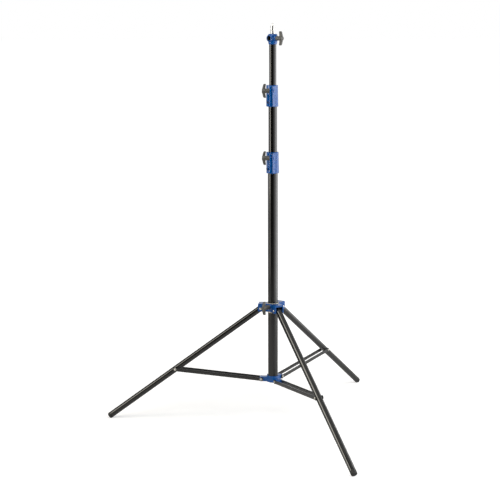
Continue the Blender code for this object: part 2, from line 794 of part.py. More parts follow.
def t_knob(name, hinge, neck, reach_in):
    """A T-knob that turns on local X of its hinge, and the steel stud moulded into it."""
    full = neck + KNOB_BAR_MIDDLE
    profile = [
        (0.0, full + KNOB_BOSS_PROUD),
        (KNOB_BOSS_R - 2.0 * KNOB_EDGE, full + KNOB_BOSS_PROUD),
        (KNOB_BOSS_R, full - KNOB_EDGE),
        (KNOB_BOSS_R, neck),
        (KNOB_NECK_TIP_R, neck - EDGE),
        (KNOB_NECK_R, KNOB_EDGE),
        (KNOB_NECK_R - KNOB_EDGE, 0.0),
        (0.0, 0.0),
    ]
    knob = turned(name + "_knob", profile, KNOB_FINISH, hinge, sides=SMALL_SIDES, rotation=ALONG_X)
    bar = plate_mesh(name + "_bar", [knob_outline(neck)], KNOB_BAR_WIDTH)
    add(knob, bar, hinge, (0, 0, 0), UPRIGHT)
    drill(knob, STUD_R + HOLE_GAP, -PAST, STUD_IN_KNOB + GAP, hinge, (0, 0, 0), ALONG_X)
    stud = [
        (0.0, STUD_IN_KNOB),
        (STUD_R, STUD_IN_KNOB),
        (STUD_R, KNOB_EDGE - reach_in),
        (STUD_R - KNOB_EDGE, -reach_in),
        (0.0, -reach_in),
    ]
    turned(name + "_stud", stud, STEEL_FINISH, hinge, sides=SMALL_SIDES, rotation=ALONG_X)


def ear_outline(root_y, tip_y):
    """The plan of a lock collar's two ears before the slit: square at the left, tapered at the right."""
    return [
        (-LOCK_LEFT_EAR, root_y),
        (-LOCK_LEFT_EAR, tip_y + LOCK_EDGE),
        (-LOCK_LEFT_EAR + LOCK_EDGE, tip_y),
        (LOCK_RIGHT_EAR_TIP, tip_y),
        (LOCK_RIGHT_EAR_TIP + LOCK_EDGE, tip_y + LOCK_EDGE),
        (LOCK_RIGHT_EAR_ROOT, root_y),
    ]


def lock_collar(name, lower_r, upper_r, parent, tube):
    """A split clamp on the top of one tube, round a bushing that grips the next tube up.

    The parent is where the collar stands, with its foot at the parent's height."""
    seat_r = lower_r + GAP
    lip_r = upper_r + LOCK_LIP_GAP
    foot_r = seat_r + LOCK_WALL_LOW
    top_r = seat_r + LOCK_WALL_TOP
    top = LOCK_HEIGHT
    profile = [
        (0.0, top),
        (top_r - LOCK_EDGE, top),
        (top_r, top - LOCK_EDGE),
        (foot_r, LOCK_EDGE),
        (foot_r - LOCK_EDGE, 0.0),
        (0.0, 0.0),
    ]
    collar = turned(name + "_collar", profile, CASTING_FINISH, parent)
    inset = LOCK_FLANK_INSET
    flank_r = foot_r - LOCK_FLANK_LESS
    flank = cylinder_mesh(name + "_flank", flank_r, inset, top - inset, TUBE_SIDES)
    add(collar, flank, parent, (flank_r - LOCK_FLANK_OUT, LOCK_FLANK_Y, 0.0))
    bolt_y = -(foot_r + LOCK_BOLT_OUT)
    ear_end = bolt_y - LOCK_EAR_BEYOND
    ear_height = top - 2.0 * LOCK_EAR_INSET
    ears = plate_mesh(name + "_ears", [ear_outline(-seat_r * 0.8, ear_end)], ear_height)
    add(collar, ears, parent, (0.0, 0.0, top / 2.0))
    knob_spot = (0.0, bolt_y, top - LOCK_KNOB_DROP)
    boss = cylinder_mesh(name + "_thread_boss", LOCK_THREAD_BOSS_R, 0.0, LOCK_THREAD_BOSS)
    add(collar, boss, parent, knob_spot, ALONG_X)
    screw_spot = (0.0, 0.0, LOCK_SCREW_RISE)
    screw_turn = outward(LOCK_SCREW_AZIMUTH)
    boss_end = foot_r + LOCK_SCREW_BOSS
    boss = cylinder_mesh(name + "_screw_boss", LOCK_SCREW_BOSS_R, seat_r * 0.8, boss_end)
    add(collar, boss, parent, screw_spot, screw_turn)
    slit = block_mesh(
        name + "_slit",
        (-LOCK_SLIT / 2.0, ear_end - PAST, -PAST),
        (LOCK_SLIT / 2.0, -lip_r * 0.5, top + PAST),
    )
    cut(collar, slit, parent)
    seat = cylinder_mesh(name + "_seat", seat_r, -PAST, top - LOCK_LIP, TUBE_SIDES)
    cut(collar, seat, parent, rotation=HALF_FACET)
    lip = cylinder_mesh(name + "_lip", lip_r, top - 2.0 * LOCK_LIP, top + PAST, TUBE_SIDES)
    cut(collar, lip, parent, rotation=HALF_FACET)
    left = (0.0, math.radians(-90.0), 0.0)
    thread_end = LOCK_THREAD_BOSS - LOCK_EDGE
    drill(collar, STUD_R + HOLE_GAP, -thread_end, 3.0 * PAST, parent, knob_spot, left)
    shank_hole = LOCK_SCREW_R + HOLE_GAP
    head_hole = LOCK_SCREW_HEAD_R + HOLE_GAP
    head_seat = boss_end - LOCK_SCREW_SUNK - LOCK_SCREW_HEAD
    far = seat_r + PAST
    drill(collar, shank_hole, seat_r * 0.8, far, parent, screw_spot, screw_turn, PIN_SIDES)
    drill(collar, head_hole, head_seat, far + PAST, parent, screw_spot, screw_turn, PIN_SIDES)
    tube_wall = lower_r - 2.0 * TUBE_WALL
    drill(tube, shank_hole, tube_wall, far, parent, screw_spot, screw_turn, PIN_SIDES)
    screw = [
        (0.0, head_seat + GAP + LOCK_SCREW_HEAD),
        (LOCK_SCREW_HEAD_R, head_seat + GAP + LOCK_SCREW_HEAD),
        (LOCK_SCREW_HEAD_R, head_seat + GAP),
        (LOCK_SCREW_R, head_seat + GAP),
        (LOCK_SCREW_R, lower_r - TUBE_WALL + GAP),
        (0.0, lower_r - TUBE_WALL + GAP),
    ]
    turned(
        name + "_screw",
        screw,
        DARK_STEEL_FINISH,
        parent,
        sides=PIN_SIDES,
        location=screw_spot,
        rotation=screw_turn,
    )
    bushing_low = LOCK_SEAT + GAP
    bushing_high = top - LOCK_LIP - GAP
    bushing_inner = upper_r + SLIDE_GAP
    sleeve(
        name + "_bushing", lower_r, bushing_inner, bushing_low, bushing_high, NYLON_FINISH, parent
    )
    hinge = empty(
        name + "_knob_axis",
        (-LOCK_LEFT_EAR - GAP, bolt_y, top - LOCK_KNOB_DROP),
        (0.0, 0.0, math.radians(180.0)),
        parent,
    )
    t_knob(name, hinge, LOCK_KNOB_NECK, LOCK_LEFT_EAR + thread_end)


def guide(name, outer, inner, tube_low, parent):
    """A nylon sleeve under the foot of a sliding tube, with a plug up into it."""
    plug_r = inner - GAP
    low = tube_low - GUIDE_HEIGHT
    profile = [
        (plug_r, tube_low + GUIDE_PLUG - EDGE),
        (plug_r, tube_low - GAP),
        (outer, tube_low - GAP),
        (outer, low + EDGE),
        (outer - EDGE, low),
        (GUIDE_BORE_R, low),
        (GUIDE_BORE_R, tube_low + GUIDE_PLUG),
        (plug_r - EDGE, tube_low + GUIDE_PLUG),
    ]
    turned(name, profile, NYLON_FINISH, parent, closed=True)


def middle_section():
    """The middle tube, with the upper lock collar on its top."""
    slide = empty("middle_slide", (0.0, 0.0, UPPER_LOCK_Z), (0, 0, 0), COLUMN)
    high = LOCK_SEAT
    low = high - MIDDLE_TUBE_LENGTH
    tube = sleeve("middle_tube", MIDDLE_TUBE_R, MIDDLE_TUBE_INNER, low, high, TUBE_FINISH, slide)
    guide("middle_tube_guide", BASE_TUBE_INNER - SLIDE_GAP, MIDDLE_TUBE_INNER, low, slide)
    lock_collar("upper_lock", MIDDLE_TUBE_R, TOP_TUBE_R, slide, tube)


def top_section():
    """The top tube, and the cast head that holds the spigot."""
    slide = empty("top_slide", (0.0, 0.0, HEAD_Z), (0, 0, 0), COLUMN)
    high = HEAD_SKIRT_DEPTH - GAP
    low = high - TOP_TUBE_LENGTH
    tube = sleeve("top_tube", TOP_TUBE_R, TOP_TUBE_INNER, low, high, TUBE_FINISH, slide)
    guide("top_tube_guide", MIDDLE_TUBE_INNER - SLIDE_GAP, TOP_TUBE_INNER, low, slide)
    plug_r = TOP_TUBE_INNER - GAP
    skirt_r = TOP_TUBE_R + GAP
    top = HEAD_HEIGHT
    profile = [
        (0.0, top),
        *reversed(arc((HEAD_R - HEAD_SHOULDER, top - HEAD_SHOULDER), HEAD_SHOULDER, 0.0, 90.0, 4)),
        (HEAD_R, HEAD_TAPER),
        (HEAD_FOOT_R, EDGE),
        (HEAD_FOOT_R - EDGE * 0.5, 0.0),
        (skirt_r, 0.0),
        (skirt_r, HEAD_SKIRT_DEPTH),
        (plug_r, HEAD_SKIRT_DEPTH),
        (plug_r, -HEAD_PLUG_LENGTH + EDGE),
        (plug_r - EDGE, -HEAD_PLUG_LENGTH),
        (0.0, -HEAD_PLUG_LENGTH),
    ]
    head = turned("head_casting", profile, CASTING_FINISH, slide)
    cross = (0.0, 0.0, HEAD_CROSS_Z)
    inside = HEAD_R / 4.0
    boss = cylinder_mesh(
        "head_cross_boss", HEAD_CROSS_BOSS_R, inside, HEAD_CROSS_REACH, SOCKET_SIDES
    )
    add(head, boss, slide, cross, outward(HEAD_CROSS_AZIMUTH))
    boss = cylinder_mesh("head_knob_boss", HEAD_KNOB_BOSS_R, inside, HEAD_KNOB_REACH)
    add(head, boss, slide, cross, outward(HEAD_KNOB_AZIMUTH))
    socket = SPIGOT_R + HOLE_GAP
    socket_low = top - HEAD_SOCKET_DEPTH
    upright = cylinder_mesh("head_socket", socket, socket_low, top + PAST, SOCKET_SIDES)
    cut(head, upright, slide, rotation=HALF_FACET)
    drill(head, socket, 0.0, 4.0 * PAST, slide, cross, outward(HEAD_CROSS_AZIMUTH), SOCKET_SIDES)
    drill(head, STUD_R + HOLE_GAP, inside, 4.0 * PAST, slide, cross, outward(HEAD_KNOB_AZIMUTH))
    rivet_z = -HEAD_RIVET_DROP
    rivet_turn = outward(HEAD_RIVET_AZIMUTH)
    rivet_hole = HEAD_RIVET_R + HOLE_GAP
    rivet_low = plug_r - HEAD_RIVET_DEPTH
    drill(head, rivet_hole, rivet_low, 2.0 * PAST, slide, (0, 0, rivet_z), rivet_turn, PIN_SIDES)
    drill(tube, rivet_hole, rivet_low, 2.0 * PAST, slide, (0, 0, rivet_z), rivet_turn, PIN_SIDES)
    outer = TOP_TUBE_R + GAP
    rivet = [
        (0.0, outer + HEAD_RIVET_DOME),
        (HEAD_RIVET_R * 0.8, outer + HEAD_RIVET_DOME * 0.8),
        (HEAD_RIVET_R, outer),
        (HEAD_RIVET_R, rivet_low + GAP),
        (0.0, rivet_low + GAP),
    ]
    turned(
        "head_rivet",
        rivet,
        DARK_STEEL_FINISH,
        slide,
        sides=PIN_SIDES,
        location=(0, 0, rivet_z),
        rotation=rivet_turn,
    )
    hinge = empty(
        "head_knob_axis",
        level(HEAD_KNOB_AZIMUTH, HEAD_KNOB_REACH + GAP, HEAD_CROSS_Z),
        (0.0, 0.0, math.radians(HEAD_KNOB_AZIMUTH)),
        slide,
    )
    reach_in = HEAD_KNOB_REACH + GAP - SPIGOT_R - 2.0 * GAP
    t_knob("head", hinge, HEAD_KNOB_NECK, reach_in)
    spigot(slide, socket_low)


def spigot(slide, socket_low):
    """The reversible stud in the head, with a waist for the knob's stud and a thread on top."""
    seat = empty("spigot_slide", (0.0, 0.0, HEAD_HEIGHT), (0, 0, 0), slide)
    depth = HEAD_HEIGHT - socket_low - GAP
    flange = GAP
    body = flange + SPIGOT_BODY_H
    profile = [
        (0.0, body + SPIGOT_THREAD_H),
        (SPIGOT_THREAD_R - SPIGOT_THREAD_EDGE, body + SPIGOT_THREAD_H),
        (SPIGOT_THREAD_R, body + SPIGOT_THREAD_H - SPIGOT_THREAD_EDGE),
        (SPIGOT_THREAD_R, body),
        (SPIGOT_R - EDGE, body),
        (SPIGOT_R, body - EDGE),
        (SPIGOT_R, SPIGOT_WAIST_HIGH),
        (SPIGOT_WAIST_R, SPIGOT_WAIST_HIGH - EDGE),
        (SPIGOT_WAIST_R, SPIGOT_WAIST_LOW + EDGE),
        (SPIGOT_R, SPIGOT_WAIST_LOW),
        (SPIGOT_R, flange + SPIGOT_FLANGE_H),
        (SPIGOT_FLANGE_R, flange + SPIGOT_FLANGE_H),
        (SPIGOT_FLANGE_R, flange),
        (SPIGOT_R, flange),
        (SPIGOT_R, EDGE - depth),
        (SPIGOT_R - EDGE, -depth),
        (0.0, -depth),
    ]
    turned("spigot", profile, CHROME_FINISH, seat, sides=SOCKET_SIDES)


base_section()
lower_hub()
struts()
legs()
leg_collar()
middle_section()
top_section()
bpy.context.view_layer.update()
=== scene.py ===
"""Looks for the light stand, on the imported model's frame.

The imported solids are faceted, so each one that shows is replaced by a finer piece at the same place:
turned pieces with rounded rims and cut threads, castings with fillets and machined bores, moulded
knobs, pressed bars and formed rivets. Metres, +Z up. The floor is z = 0.
"""

import cmath
import math

import bmesh
import bpy
import numpy as np
from mathutils import Matrix, Vector


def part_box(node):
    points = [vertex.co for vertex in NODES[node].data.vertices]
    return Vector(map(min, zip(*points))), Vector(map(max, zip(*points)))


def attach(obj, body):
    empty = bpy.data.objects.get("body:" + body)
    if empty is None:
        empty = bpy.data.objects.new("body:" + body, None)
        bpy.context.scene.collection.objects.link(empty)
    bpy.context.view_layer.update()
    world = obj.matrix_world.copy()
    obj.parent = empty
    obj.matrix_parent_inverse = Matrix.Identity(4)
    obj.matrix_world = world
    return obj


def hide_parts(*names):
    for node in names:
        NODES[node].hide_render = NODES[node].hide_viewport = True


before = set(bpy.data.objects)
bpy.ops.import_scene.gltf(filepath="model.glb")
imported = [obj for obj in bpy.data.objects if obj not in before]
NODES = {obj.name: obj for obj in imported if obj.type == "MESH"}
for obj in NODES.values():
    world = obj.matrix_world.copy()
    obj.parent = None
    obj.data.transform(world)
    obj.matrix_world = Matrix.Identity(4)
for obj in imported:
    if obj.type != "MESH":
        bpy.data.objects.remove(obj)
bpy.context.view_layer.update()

# Where the column stands, and the heights of what is fixed to it
COLUMN_X = 0.150017
LEG_PIVOT_Z = 0.422788
HUB_PIVOT_Z = 0.162788
LOWER_LOCK_Z = 0.9055
UPPER_LOCK_Z = 1.1360
HEAD_Z = 1.3480

# The three tubes, outer radius and wall
BASE_TUBE_R = 0.0175
MIDDLE_TUBE_R = 0.0150
TOP_TUBE_R = 0.0125
TUBE_WALL = 0.0012
GAP = 0.0003

# Legs and struts
LEG_AZIMUTHS = (180.0, -60.0, 60.0)
LEG_TUBE_R = 0.0110
LEG_WALL = 0.0010
LEG_LENGTH = 0.6957
LEG_TILT = math.radians(36.73)
LEG_PIVOT_R = 0.0425
LEG_TOP_REACH = 0.0060
LEG_PLUG_DEPTH = 0.0120
LEG_PLUG_HEAD = 0.0020
FOOT_CAP_LENGTH = 0.0120
FOOT_PLUG_LENGTH = 0.0130
STRUT_LENGTH = 0.312021
STRUT_RISE = math.radians(5.2720)
STRUT_HEIGHT = 0.0120
STRUT_THICKNESS = 0.0030
STRUT_INNER = 0.0115
STRUT_EYE_R = 0.0075
PIN_R = 0.0030
PIN_HEAD_R = 0.0043
PIN_HEAD_H = 0.0019

# Lower hub
HUB_PIVOT_R = 0.0418
HUB_LOW = -0.0097
HUB_HIGH = 0.0138
HUB_RING_R = 0.0222
HUB_LUG_R = 0.0080
HUB_LUG_HALF = 0.0112
HUB_SCREW_Z = 0.0092
HUB_SCREW_AZIMUTH = 138.0
HUB_SCREW_SEAT = 0.0225

# Lock collars
LOCK_HEIGHT = 0.0745
LOCK_FOOT_WALL = 0.0040
LOCK_TOP_WALL = 0.0025
LOCK_SEAT = 0.0380
LOCK_LIP = 0.0040
LOCK_LIP_GAP = 0.0008
LOCK_LEFT_EAR = 0.0082
LOCK_EAR_PAST_BOLT = 0.0085
LOCK_BOLT_OUT = 0.0100
LOCK_BOSS_OUT = 0.0066
LOCK_STUD_SHORT = 0.0012
LOCK_KNOB_Z = LOCK_HEIGHT - 0.0187
LOCK_SCREW_Z = 0.0160
LOCK_SCREW_AZIMUTH = -135.0
LOCK_SCREW_OUT = 0.0043
LOCK_SCREW_SUNK = 0.0034
LOCK_SCREW_HOLE_R = 0.0034
LOCK_SHANK_HOLE_R = 0.0022

# Leg collar
COLLAR_BORE = 0.0203
COLLAR_RING_R = 0.0240
COLLAR_RING_LOW = -0.0092
COLLAR_RING_HIGH = 0.0165
COLLAR_ARM_LOW = -0.0102
COLLAR_ARM_HIGH = 0.0195
COLLAR_ARM_HALF = 0.0170
COLLAR_ARM_END = LEG_PIVOT_R + 0.0100
COLLAR_ROOF_Z = 0.0137
COLLAR_POCKET_HALF = 0.0120
COLLAR_PIN_HALF = 0.0173
COLLAR_KNOB_AZIMUTH = -120.0
COLLAR_KNOB_Z = 0.0092
COLLAR_KNOB_NECK = 0.0235
COLLAR_BOSS_REACH = 0.0275
COLLAR_BOSS_R = 0.0078
COLLAR_STUD_END = 0.0206

# Head and spigot
HEAD_HEIGHT = 0.0352
HEAD_R = 0.0162
HEAD_FOOT_R = 0.0142
HEAD_CROSS_Z = 0.0205
HEAD_REACH = 0.0195
HEAD_CROSS_BOSS_R = 0.0112
HEAD_KNOB_BOSS_R = 0.0086
HEAD_CROSS_AZIMUTH = -130.0
HEAD_KNOB_AZIMUTH = -40.0
HEAD_SOCKET_DEPTH = 0.0255
HEAD_SKIRT_DEPTH = 0.0065
HEAD_RIVET_AZIMUTH = -143.0
HEAD_STUD_END = 0.0086
SPIGOT_R = 0.0080
SPIGOT_WAIST_R = 0.0068
SPIGOT_FLANGE_R = 0.0088
SPIGOT_FOOT = -0.0252
SOCKET_R = 0.0084

# T-knobs and their studs
KNOB_NECK = 0.0150
KNOB_CAP_OUT = 0.0112
KNOB_CAP_R = 0.0076
KNOB_HALF_SPAN = 0.0238
KNOB_HALF_DEPTH = 0.0086
STUD_R = 0.0038
STUD_IN_KNOB = 0.0100
STUD_TIP = 0.0008
HOLE_GAP = 0.0004

# How far a cutter goes past a casting, the flat beside a rounded corner, and the angle of a sharp edge
PAST = 0.0100
GUARD = 0.0012
SHARP = math.radians(40.0)


# Places: a matrix from a piece's own axes to the frame

UPRIGHT = Matrix.Identity(4)
ALONG_X = Matrix.Rotation(math.radians(90.0), 4, "Y")
ALONG_Y = Matrix.Rotation(math.radians(-90.0), 4, "X")


def at(z):
    """The column's own axes, at a height."""
    return Matrix.Translation((COLUMN_X, 0.0, z))


def outward(azimuth, z, tilt=0.0, radius=0.0):
    """Local X level and away from the column at an azimuth in degrees, then dipped by tilt."""
    turn = Matrix.Rotation(math.radians(azimuth), 4, "Z")
    return at(z) @ turn @ Matrix.Translation((radius, 0, 0)) @ Matrix.Rotation(tilt, 4, "Y")


def level(azimuth, z):
    """In a casting's axes, local Z level and outward at an azimuth and a height."""
    return Matrix.Translation((-COLUMN_X, 0, 0)) @ outward(azimuth, z) @ ALONG_X


# Meshes


def linked(name, data):
    """A new object in the scene, of its data."""
    made = bpy.data.objects.new(name, data)
    bpy.context.scene.collection.objects.link(made)
    return made


def smoothed(mesh):
    """The mesh shaded smooth, and sharp where it turns by more than the angle of a sharp edge."""
    mesh.shade_smooth()
    mesh.set_sharp_from_angle(angle=SHARP)
    return mesh


def mesh_of(points, faces):
    """A mesh whose faces point outwards, its doubles merged."""
    mesh = bpy.data.meshes.new("shape")
    mesh.from_pydata(points, [], faces)
    shape = bmesh.new()
    shape.from_mesh(mesh)
    bmesh.ops.remove_doubles(shape, verts=shape.verts, dist=0.000002)
    bmesh.ops.recalc_face_normals(shape, faces=shape.faces)
    shape.to_mesh(mesh)
    shape.free()
    return smoothed(mesh)


def grid_faces(rows, columns, closed_rows):
    """Quads of a grid whose columns close on themselves, and its rows too if closed_rows."""
    grid = np.arange(rows * columns).reshape(rows, columns)
    beside = np.roll(grid, -1, axis=1)
    quads = np.stack([grid, beside, np.roll(beside, -1, axis=0), np.roll(grid, -1, axis=0)], axis=2)
    return quads[: rows if closed_rows else rows - 1].reshape(-1, 4)


def rounded(corners, closed=False, steps=4):
    """Each (radius, height, fillet) corner becomes an arc of that fillet, tangent to both its sides.

    With the interior angle A, the arc starts fillet / tan(A / 2) from the corner. A guard point beside
    each arc keeps the shading of a long straight flat. Gives (radius, height) rows."""
    spots = [complex(radius, height) for radius, height, _ in corners]
    points = []
    for i, here in enumerate(spots):
        fillet = corners[i][2]
        if fillet <= 0.0 or (not closed and i in (0, len(spots) - 1)):
            points.append(here)
            continue
        before = spots[i - 1] - here
        after = spots[(i + 1) % len(spots)] - here
        room_before, room_after = abs(before), abs(after)
        before /= room_before
        after /= room_after
        half = abs(cmath.phase(after / before)) / 2.0
        reach = min(fillet / math.tan(half), 0.45 * room_before, 0.45 * room_after)
        centre = here + (before + after) / abs(before + after) * reach / math.cos(half)
        first = here + before * reach - centre
        sweep = cmath.phase((here + after * reach - centre) / first)
        if room_before > 3.0 * (reach + GUARD):
            points.append(here + before * (reach + GUARD))
        points += [centre + first * cmath.rect(1.0, sweep * k / steps) for k in range(steps + 1)]
        if room_after > 3.0 * (reach + GUARD):
            points.append(here + after * (reach + GUARD))
    return np.array([(point.real, point.imag) for point in points])


def dense(profile, low, high, spacing):
    """The profile with its stretches between two heights cut into short rows."""
    made = [profile[0]]
    for start, end in zip(profile[:-1], profile[1:]):
        within = min(start[1], end[1]) >= low and max(start[1], end[1]) <= high
        cuts = max(1, int(abs(end[1] - start[1]) / spacing)) if within else 1
        made += [start + (end - start) * step / cuts for step in range(1, cuts + 1)]
    return np.array(made)


def turned(rows, sides, closed=False, steps=4, thread=None, hexed=None):
    """Rows turned about local Z: the point (r cos a, r sin a, z) for each row (r, z) and angle a.

    Rows with a third value are corners to be rounded. thread is (low, high, pitch, depth): between two
    heights the radius loses depth times a wave of z / pitch - a / 2 pi, flat at its crests and roots,
    which is a helix. hexed is (radius limit, low, high): the rows inside it take the radius of a
    hexagon, r cos 30 / cos(a mod 60 - 30)."""
    profile = np.array(rows) if len(rows[0]) == 2 else rounded(rows, closed, steps)
    angle = np.arange(sides) * math.tau / sides
    radius = np.repeat(profile[:, :1], sides, axis=1)
    height = np.repeat(profile[:, 1:], sides, axis=1)
    if thread:
        low, high, pitch, depth = thread
        phase = (height / pitch - angle / math.tau) % 1.0
        fade = np.clip(np.minimum(height - low, high - height) / pitch * 2.0, 0.0, 1.0)
        cut = depth * fade * np.clip(1.6 * np.abs(2.0 * phase - 1.0) - 0.3, 0.0, 1.0)
        radius = np.where(radius > depth, radius - cut, radius)
    if hexed:
        limit, low, high = hexed
        six = math.cos(math.pi / 6.0) / np.cos(angle % (math.pi / 3.0) - math.pi / 6.0)
        inside = (radius <= limit) & (height >= low) & (height <= high)
        radius = np.where(inside, radius * six, radius)
    points = np.stack([radius * np.cos(angle), radius * np.sin(angle), height], axis=2)
    return mesh_of(points.reshape(-1, 3), grid_faces(len(profile), sides, closed))


# Fields: the distance to a surface in metres, less than 0 inside. Two fields are joined or cut with
# a round fillet, as a casting has: for a fillet of radius r, the arc of that radius between them.


def join(a, b, fillet):
    """Both shapes: max(r, min(a, b)) - |(max(r - a, 0), max(r - b, 0))|."""
    blend = np.hypot(np.maximum(fillet - a, 0.0), np.maximum(fillet - b, 0.0))
    return np.maximum(fillet, np.minimum(a, b)) - blend


def meet(a, b, fillet):
    """What the shapes share: min(-r, max(a, b)) + |(max(r + a, 0), max(r + b, 0))|."""
    blend = np.hypot(np.maximum(fillet + a, 0.0), np.maximum(fillet + b, 0.0))
    return np.minimum(-fillet, np.maximum(a, b)) + blend


def less(a, b, fillet):
    """The first shape without the second."""
    return meet(a, -b, fillet)


def slab(value, low, high):
    """The layer between two values of a coordinate."""
    return np.abs(value - (low + high) / 2.0) - (high - low) / 2.0


def rod(along, side, up, radius, low, high, fillet):
    """A cylinder on one coordinate, between two values of it, its rims rounded by fillet."""
    return meet(np.hypot(side, up) - radius, slab(along, low, high), fillet)


def along(x, y, azimuth):
    """The level coordinates away from the column at an azimuth, and across it."""
    angle = math.radians(azimuth)
    cos, sin = math.cos(angle), math.sin(angle)
    return x * cos + y * sin, y * cos - x * sin


def with_boss(shape, spot, azimuth, height, radius, reach, rim, fillet):
    """The shape with a round level boss that reaches out at an azimuth and a height."""
    x, y, z = spot
    out, side = along(x, y, azimuth)
    return join(shape, rod(out, side, z - height, radius, 0.004, reach, rim), fillet)


def cast(field, low, high, step):
    """The closed surface where field(x, y, z) = 0, worked out on a grid of the given step.

    Each cell that the surface crosses gets one point, the mean of the crossings on the cell's edges.
    Each grid edge whose ends have different signs gives one quad, of the points of the four cells
    round it. The points then go onto the surface by p -= f g / |g|^2, with g the field's gradient."""
    low = np.array(low) - 2.0 * step
    counts = np.ceil((np.array(high) + 2.0 * step - low) / step).astype(int) + 1
    lines = [low[i] + step * np.arange(counts[i]) for i in range(3)]
    spots = np.stack(np.meshgrid(*lines, indexing="ij"), axis=3)
    values = field(*np.moveaxis(spots, 3, 0))
    total = np.zeros((*(counts - 1), 3))
    number = np.zeros(counts - 1)
    crossed = []
    for axis in range(3):
        order = (axis, (axis + 1) % 3, (axis + 2) % 3)
        ends = values.transpose(order)
        inside = ends[:-1] < 0.0
        change = inside != (ends[1:] < 0.0)
        share = np.where(change, ends[:-1] / np.where(change, ends[:-1] - ends[1:], 1.0), 0.0)
        where = spots.transpose(*order, 3)[:-1].copy()
        where[..., axis] += share * step
        where *= change[..., None]
        sums = total.transpose(*order, 3)
        hits = number.transpose(order)
        for one in (0, 1):
            for two in (0, 1):
                part = (slice(None), slice(one, one + hits.shape[1]), slice(two, two + hits.shape[2]))
                sums += where[part]
                hits += change[part]
        crossed.append((order, change, inside))
    used = number > 0
    points = total[used] / number[used][:, None]
    index = np.full(counts - 1, -1)
    index[used] = np.arange(len(points))
    faces = []
    for order, change, inside in crossed:
        row, one, two = np.nonzero(change)
        cells = index.transpose(order)
        ring = [cells[row, one - a, two - b] for a, b in ((1, 1), (0, 1), (0, 0), (1, 0))]
        quads = np.stack(ring, axis=1)
        faces.append(np.where(inside[change][:, None], quads, quads[:, ::-1]))
    shifts = np.eye(3) * step * 0.1
    for _ in range(5):
        rises = [field(*(points + shift).T) - field(*(points - shift).T) for shift in shifts]
        slope = np.stack(rises, axis=1) / (0.2 * step)
        move = slope * (field(*points.T) / np.maximum((slope**2).sum(axis=1), 0.05))[:, None]
        points -= np.clip(move, -0.6 * step, 0.6 * step)
    return mesh_of(points, np.concatenate(faces))


def machined(mesh, *cutters):
    """The first mesh with the others cut out of it."""
    target = linked("target", mesh)
    tools = [linked("tool", cutter) for cutter in cutters]
    for tool in tools:
        modifier = target.modifiers.new("cut", "BOOLEAN")
        modifier.operation = "DIFFERENCE"
        modifier.solver = "MANIFOLD"
        modifier.object = tool
    graph = bpy.context.evaluated_depsgraph_get()
    made = bpy.data.meshes.new_from_object(target.evaluated_get(graph))
    for used in [target, *tools]:
        old = used.data
        bpy.data.objects.remove(used)
        bpy.data.meshes.remove(old)
    return smoothed(made)


def drill(radius, low, high, place=UPRIGHT, mouth=None, chamfer=0.0005):
    """A cutter for a round bore on its place's Z, opening out by the chamfer at its mouth's height."""
    rows = [(0.0, low), (radius, low)]
    if mouth is not None:
        rows += [(radius, mouth - chamfer), (radius + chamfer, mouth)]
        radius += chamfer
    mesh = turned([*rows, (radius, high), (0.0, high)], 96)
    mesh.transform(place)
    return mesh


def through_bore(chamfer, lower, upper, steps=()):
    """A cutter for a bore through a casting, chamfered at both mouths, each of a radius and height."""
    rows = []
    for (radius, height), way in ((lower, -1.0), (upper, 1.0)):
        wide = radius + chamfer
        past = height + way * PAST
        mouth = [(0.0, past), (wide, past), (wide, height), (radius, height - way * chamfer)]
        rows += mouth[::-1] if rows else [*mouth, *steps]
    return turned(rows, 128)


# Shader trees


class Net:
    """A shader tree, the place that its patterns read, and its inputs if it is a shared effect."""

    def __init__(self, tree, place=None, inputs=None):
        self.tree = tree
        self.place = place
        self.inputs = inputs

    def feed(self, socket, value):
        """Links a socket to another one, or gives it a value."""
        if isinstance(value, bpy.types.NodeSocket):
            self.tree.links.new(value, socket)
        else:
            socket.default_value = (*value, 1.0) if socket.type == "RGBA" else value

    def node(self, kind, values=(), **settings):
        """A node with its settings, and (socket, value or other socket) pairs for its inputs."""
        made = self.tree.nodes.new("ShaderNode" + kind)
        for key, value in settings.items():
            setattr(made, key, value)
        for key, value in values:
            self.feed(made.inputs[key], value)
        return made

    def maths(self, operation, one, two):
        """The result of one operation on two values."""
        return self.node("Math", ((0, one), (1, two)), operation=operation).outputs[0]

    def plus(self, one, two):
        """Two values added."""
        return self.maths("ADD", one, two)

    def times(self, one, two):
        """Two values multiplied."""
        return self.maths("MULTIPLY", one, two)

    def spread(self, value, low, high, out_low=0.0, out_high=1.0):
        """A value spread from one range to another, and held at its ends."""
        values = ((0, value), (1, low), (2, high), (3, out_low), (4, out_high))
        return self.node("MapRange", values, clamp=True).outputs[0]

    def noise(self, scale, detail=3.0, roughness=0.5, stretch=None):
        """Noise on the place, stretched by three numbers if they are given."""
        place = self.place
        if stretch:
            place = self.node("VectorMath", ((0, place), (1, stretch)), operation="MULTIPLY").outputs[0]
        values = (("Vector", place), ("Scale", scale), ("Detail", detail), ("Roughness", roughness))
        return self.node("TexNoise", values).outputs["Fac"]


def drawn_lines(net):
    """Fine lines along a drawn tube, and the long rubs that sliding leaves on it."""
    rubs = net.noise(160.0, 4.0, 0.65, (1.0, 1.0, 0.03))
    return net.noise(900.0, 2.0, 0.6, (1.0, 1.0, 0.004)), net.spread(rubs, 0.60, 0.78)


def handling(net):
    """Smudges from hands, a few centimetres across."""
    return (net.spread(net.noise(38.0, 5.0, 0.62), 0.36, 0.70),)


def edge_wear(net):
    """Where a coat has rubbed through: on outer edges, broken up by fine noise."""
    edge = net.spread(net.node("NewGeometry").outputs["Pointiness"], 0.52, 0.60)
    broken = net.plus(edge, net.plus(net.noise(420.0, 4.0, 0.7), -1.05))
    return (net.spread(net.times(broken, net.inputs["Amount"]), 0.10, 0.22),)


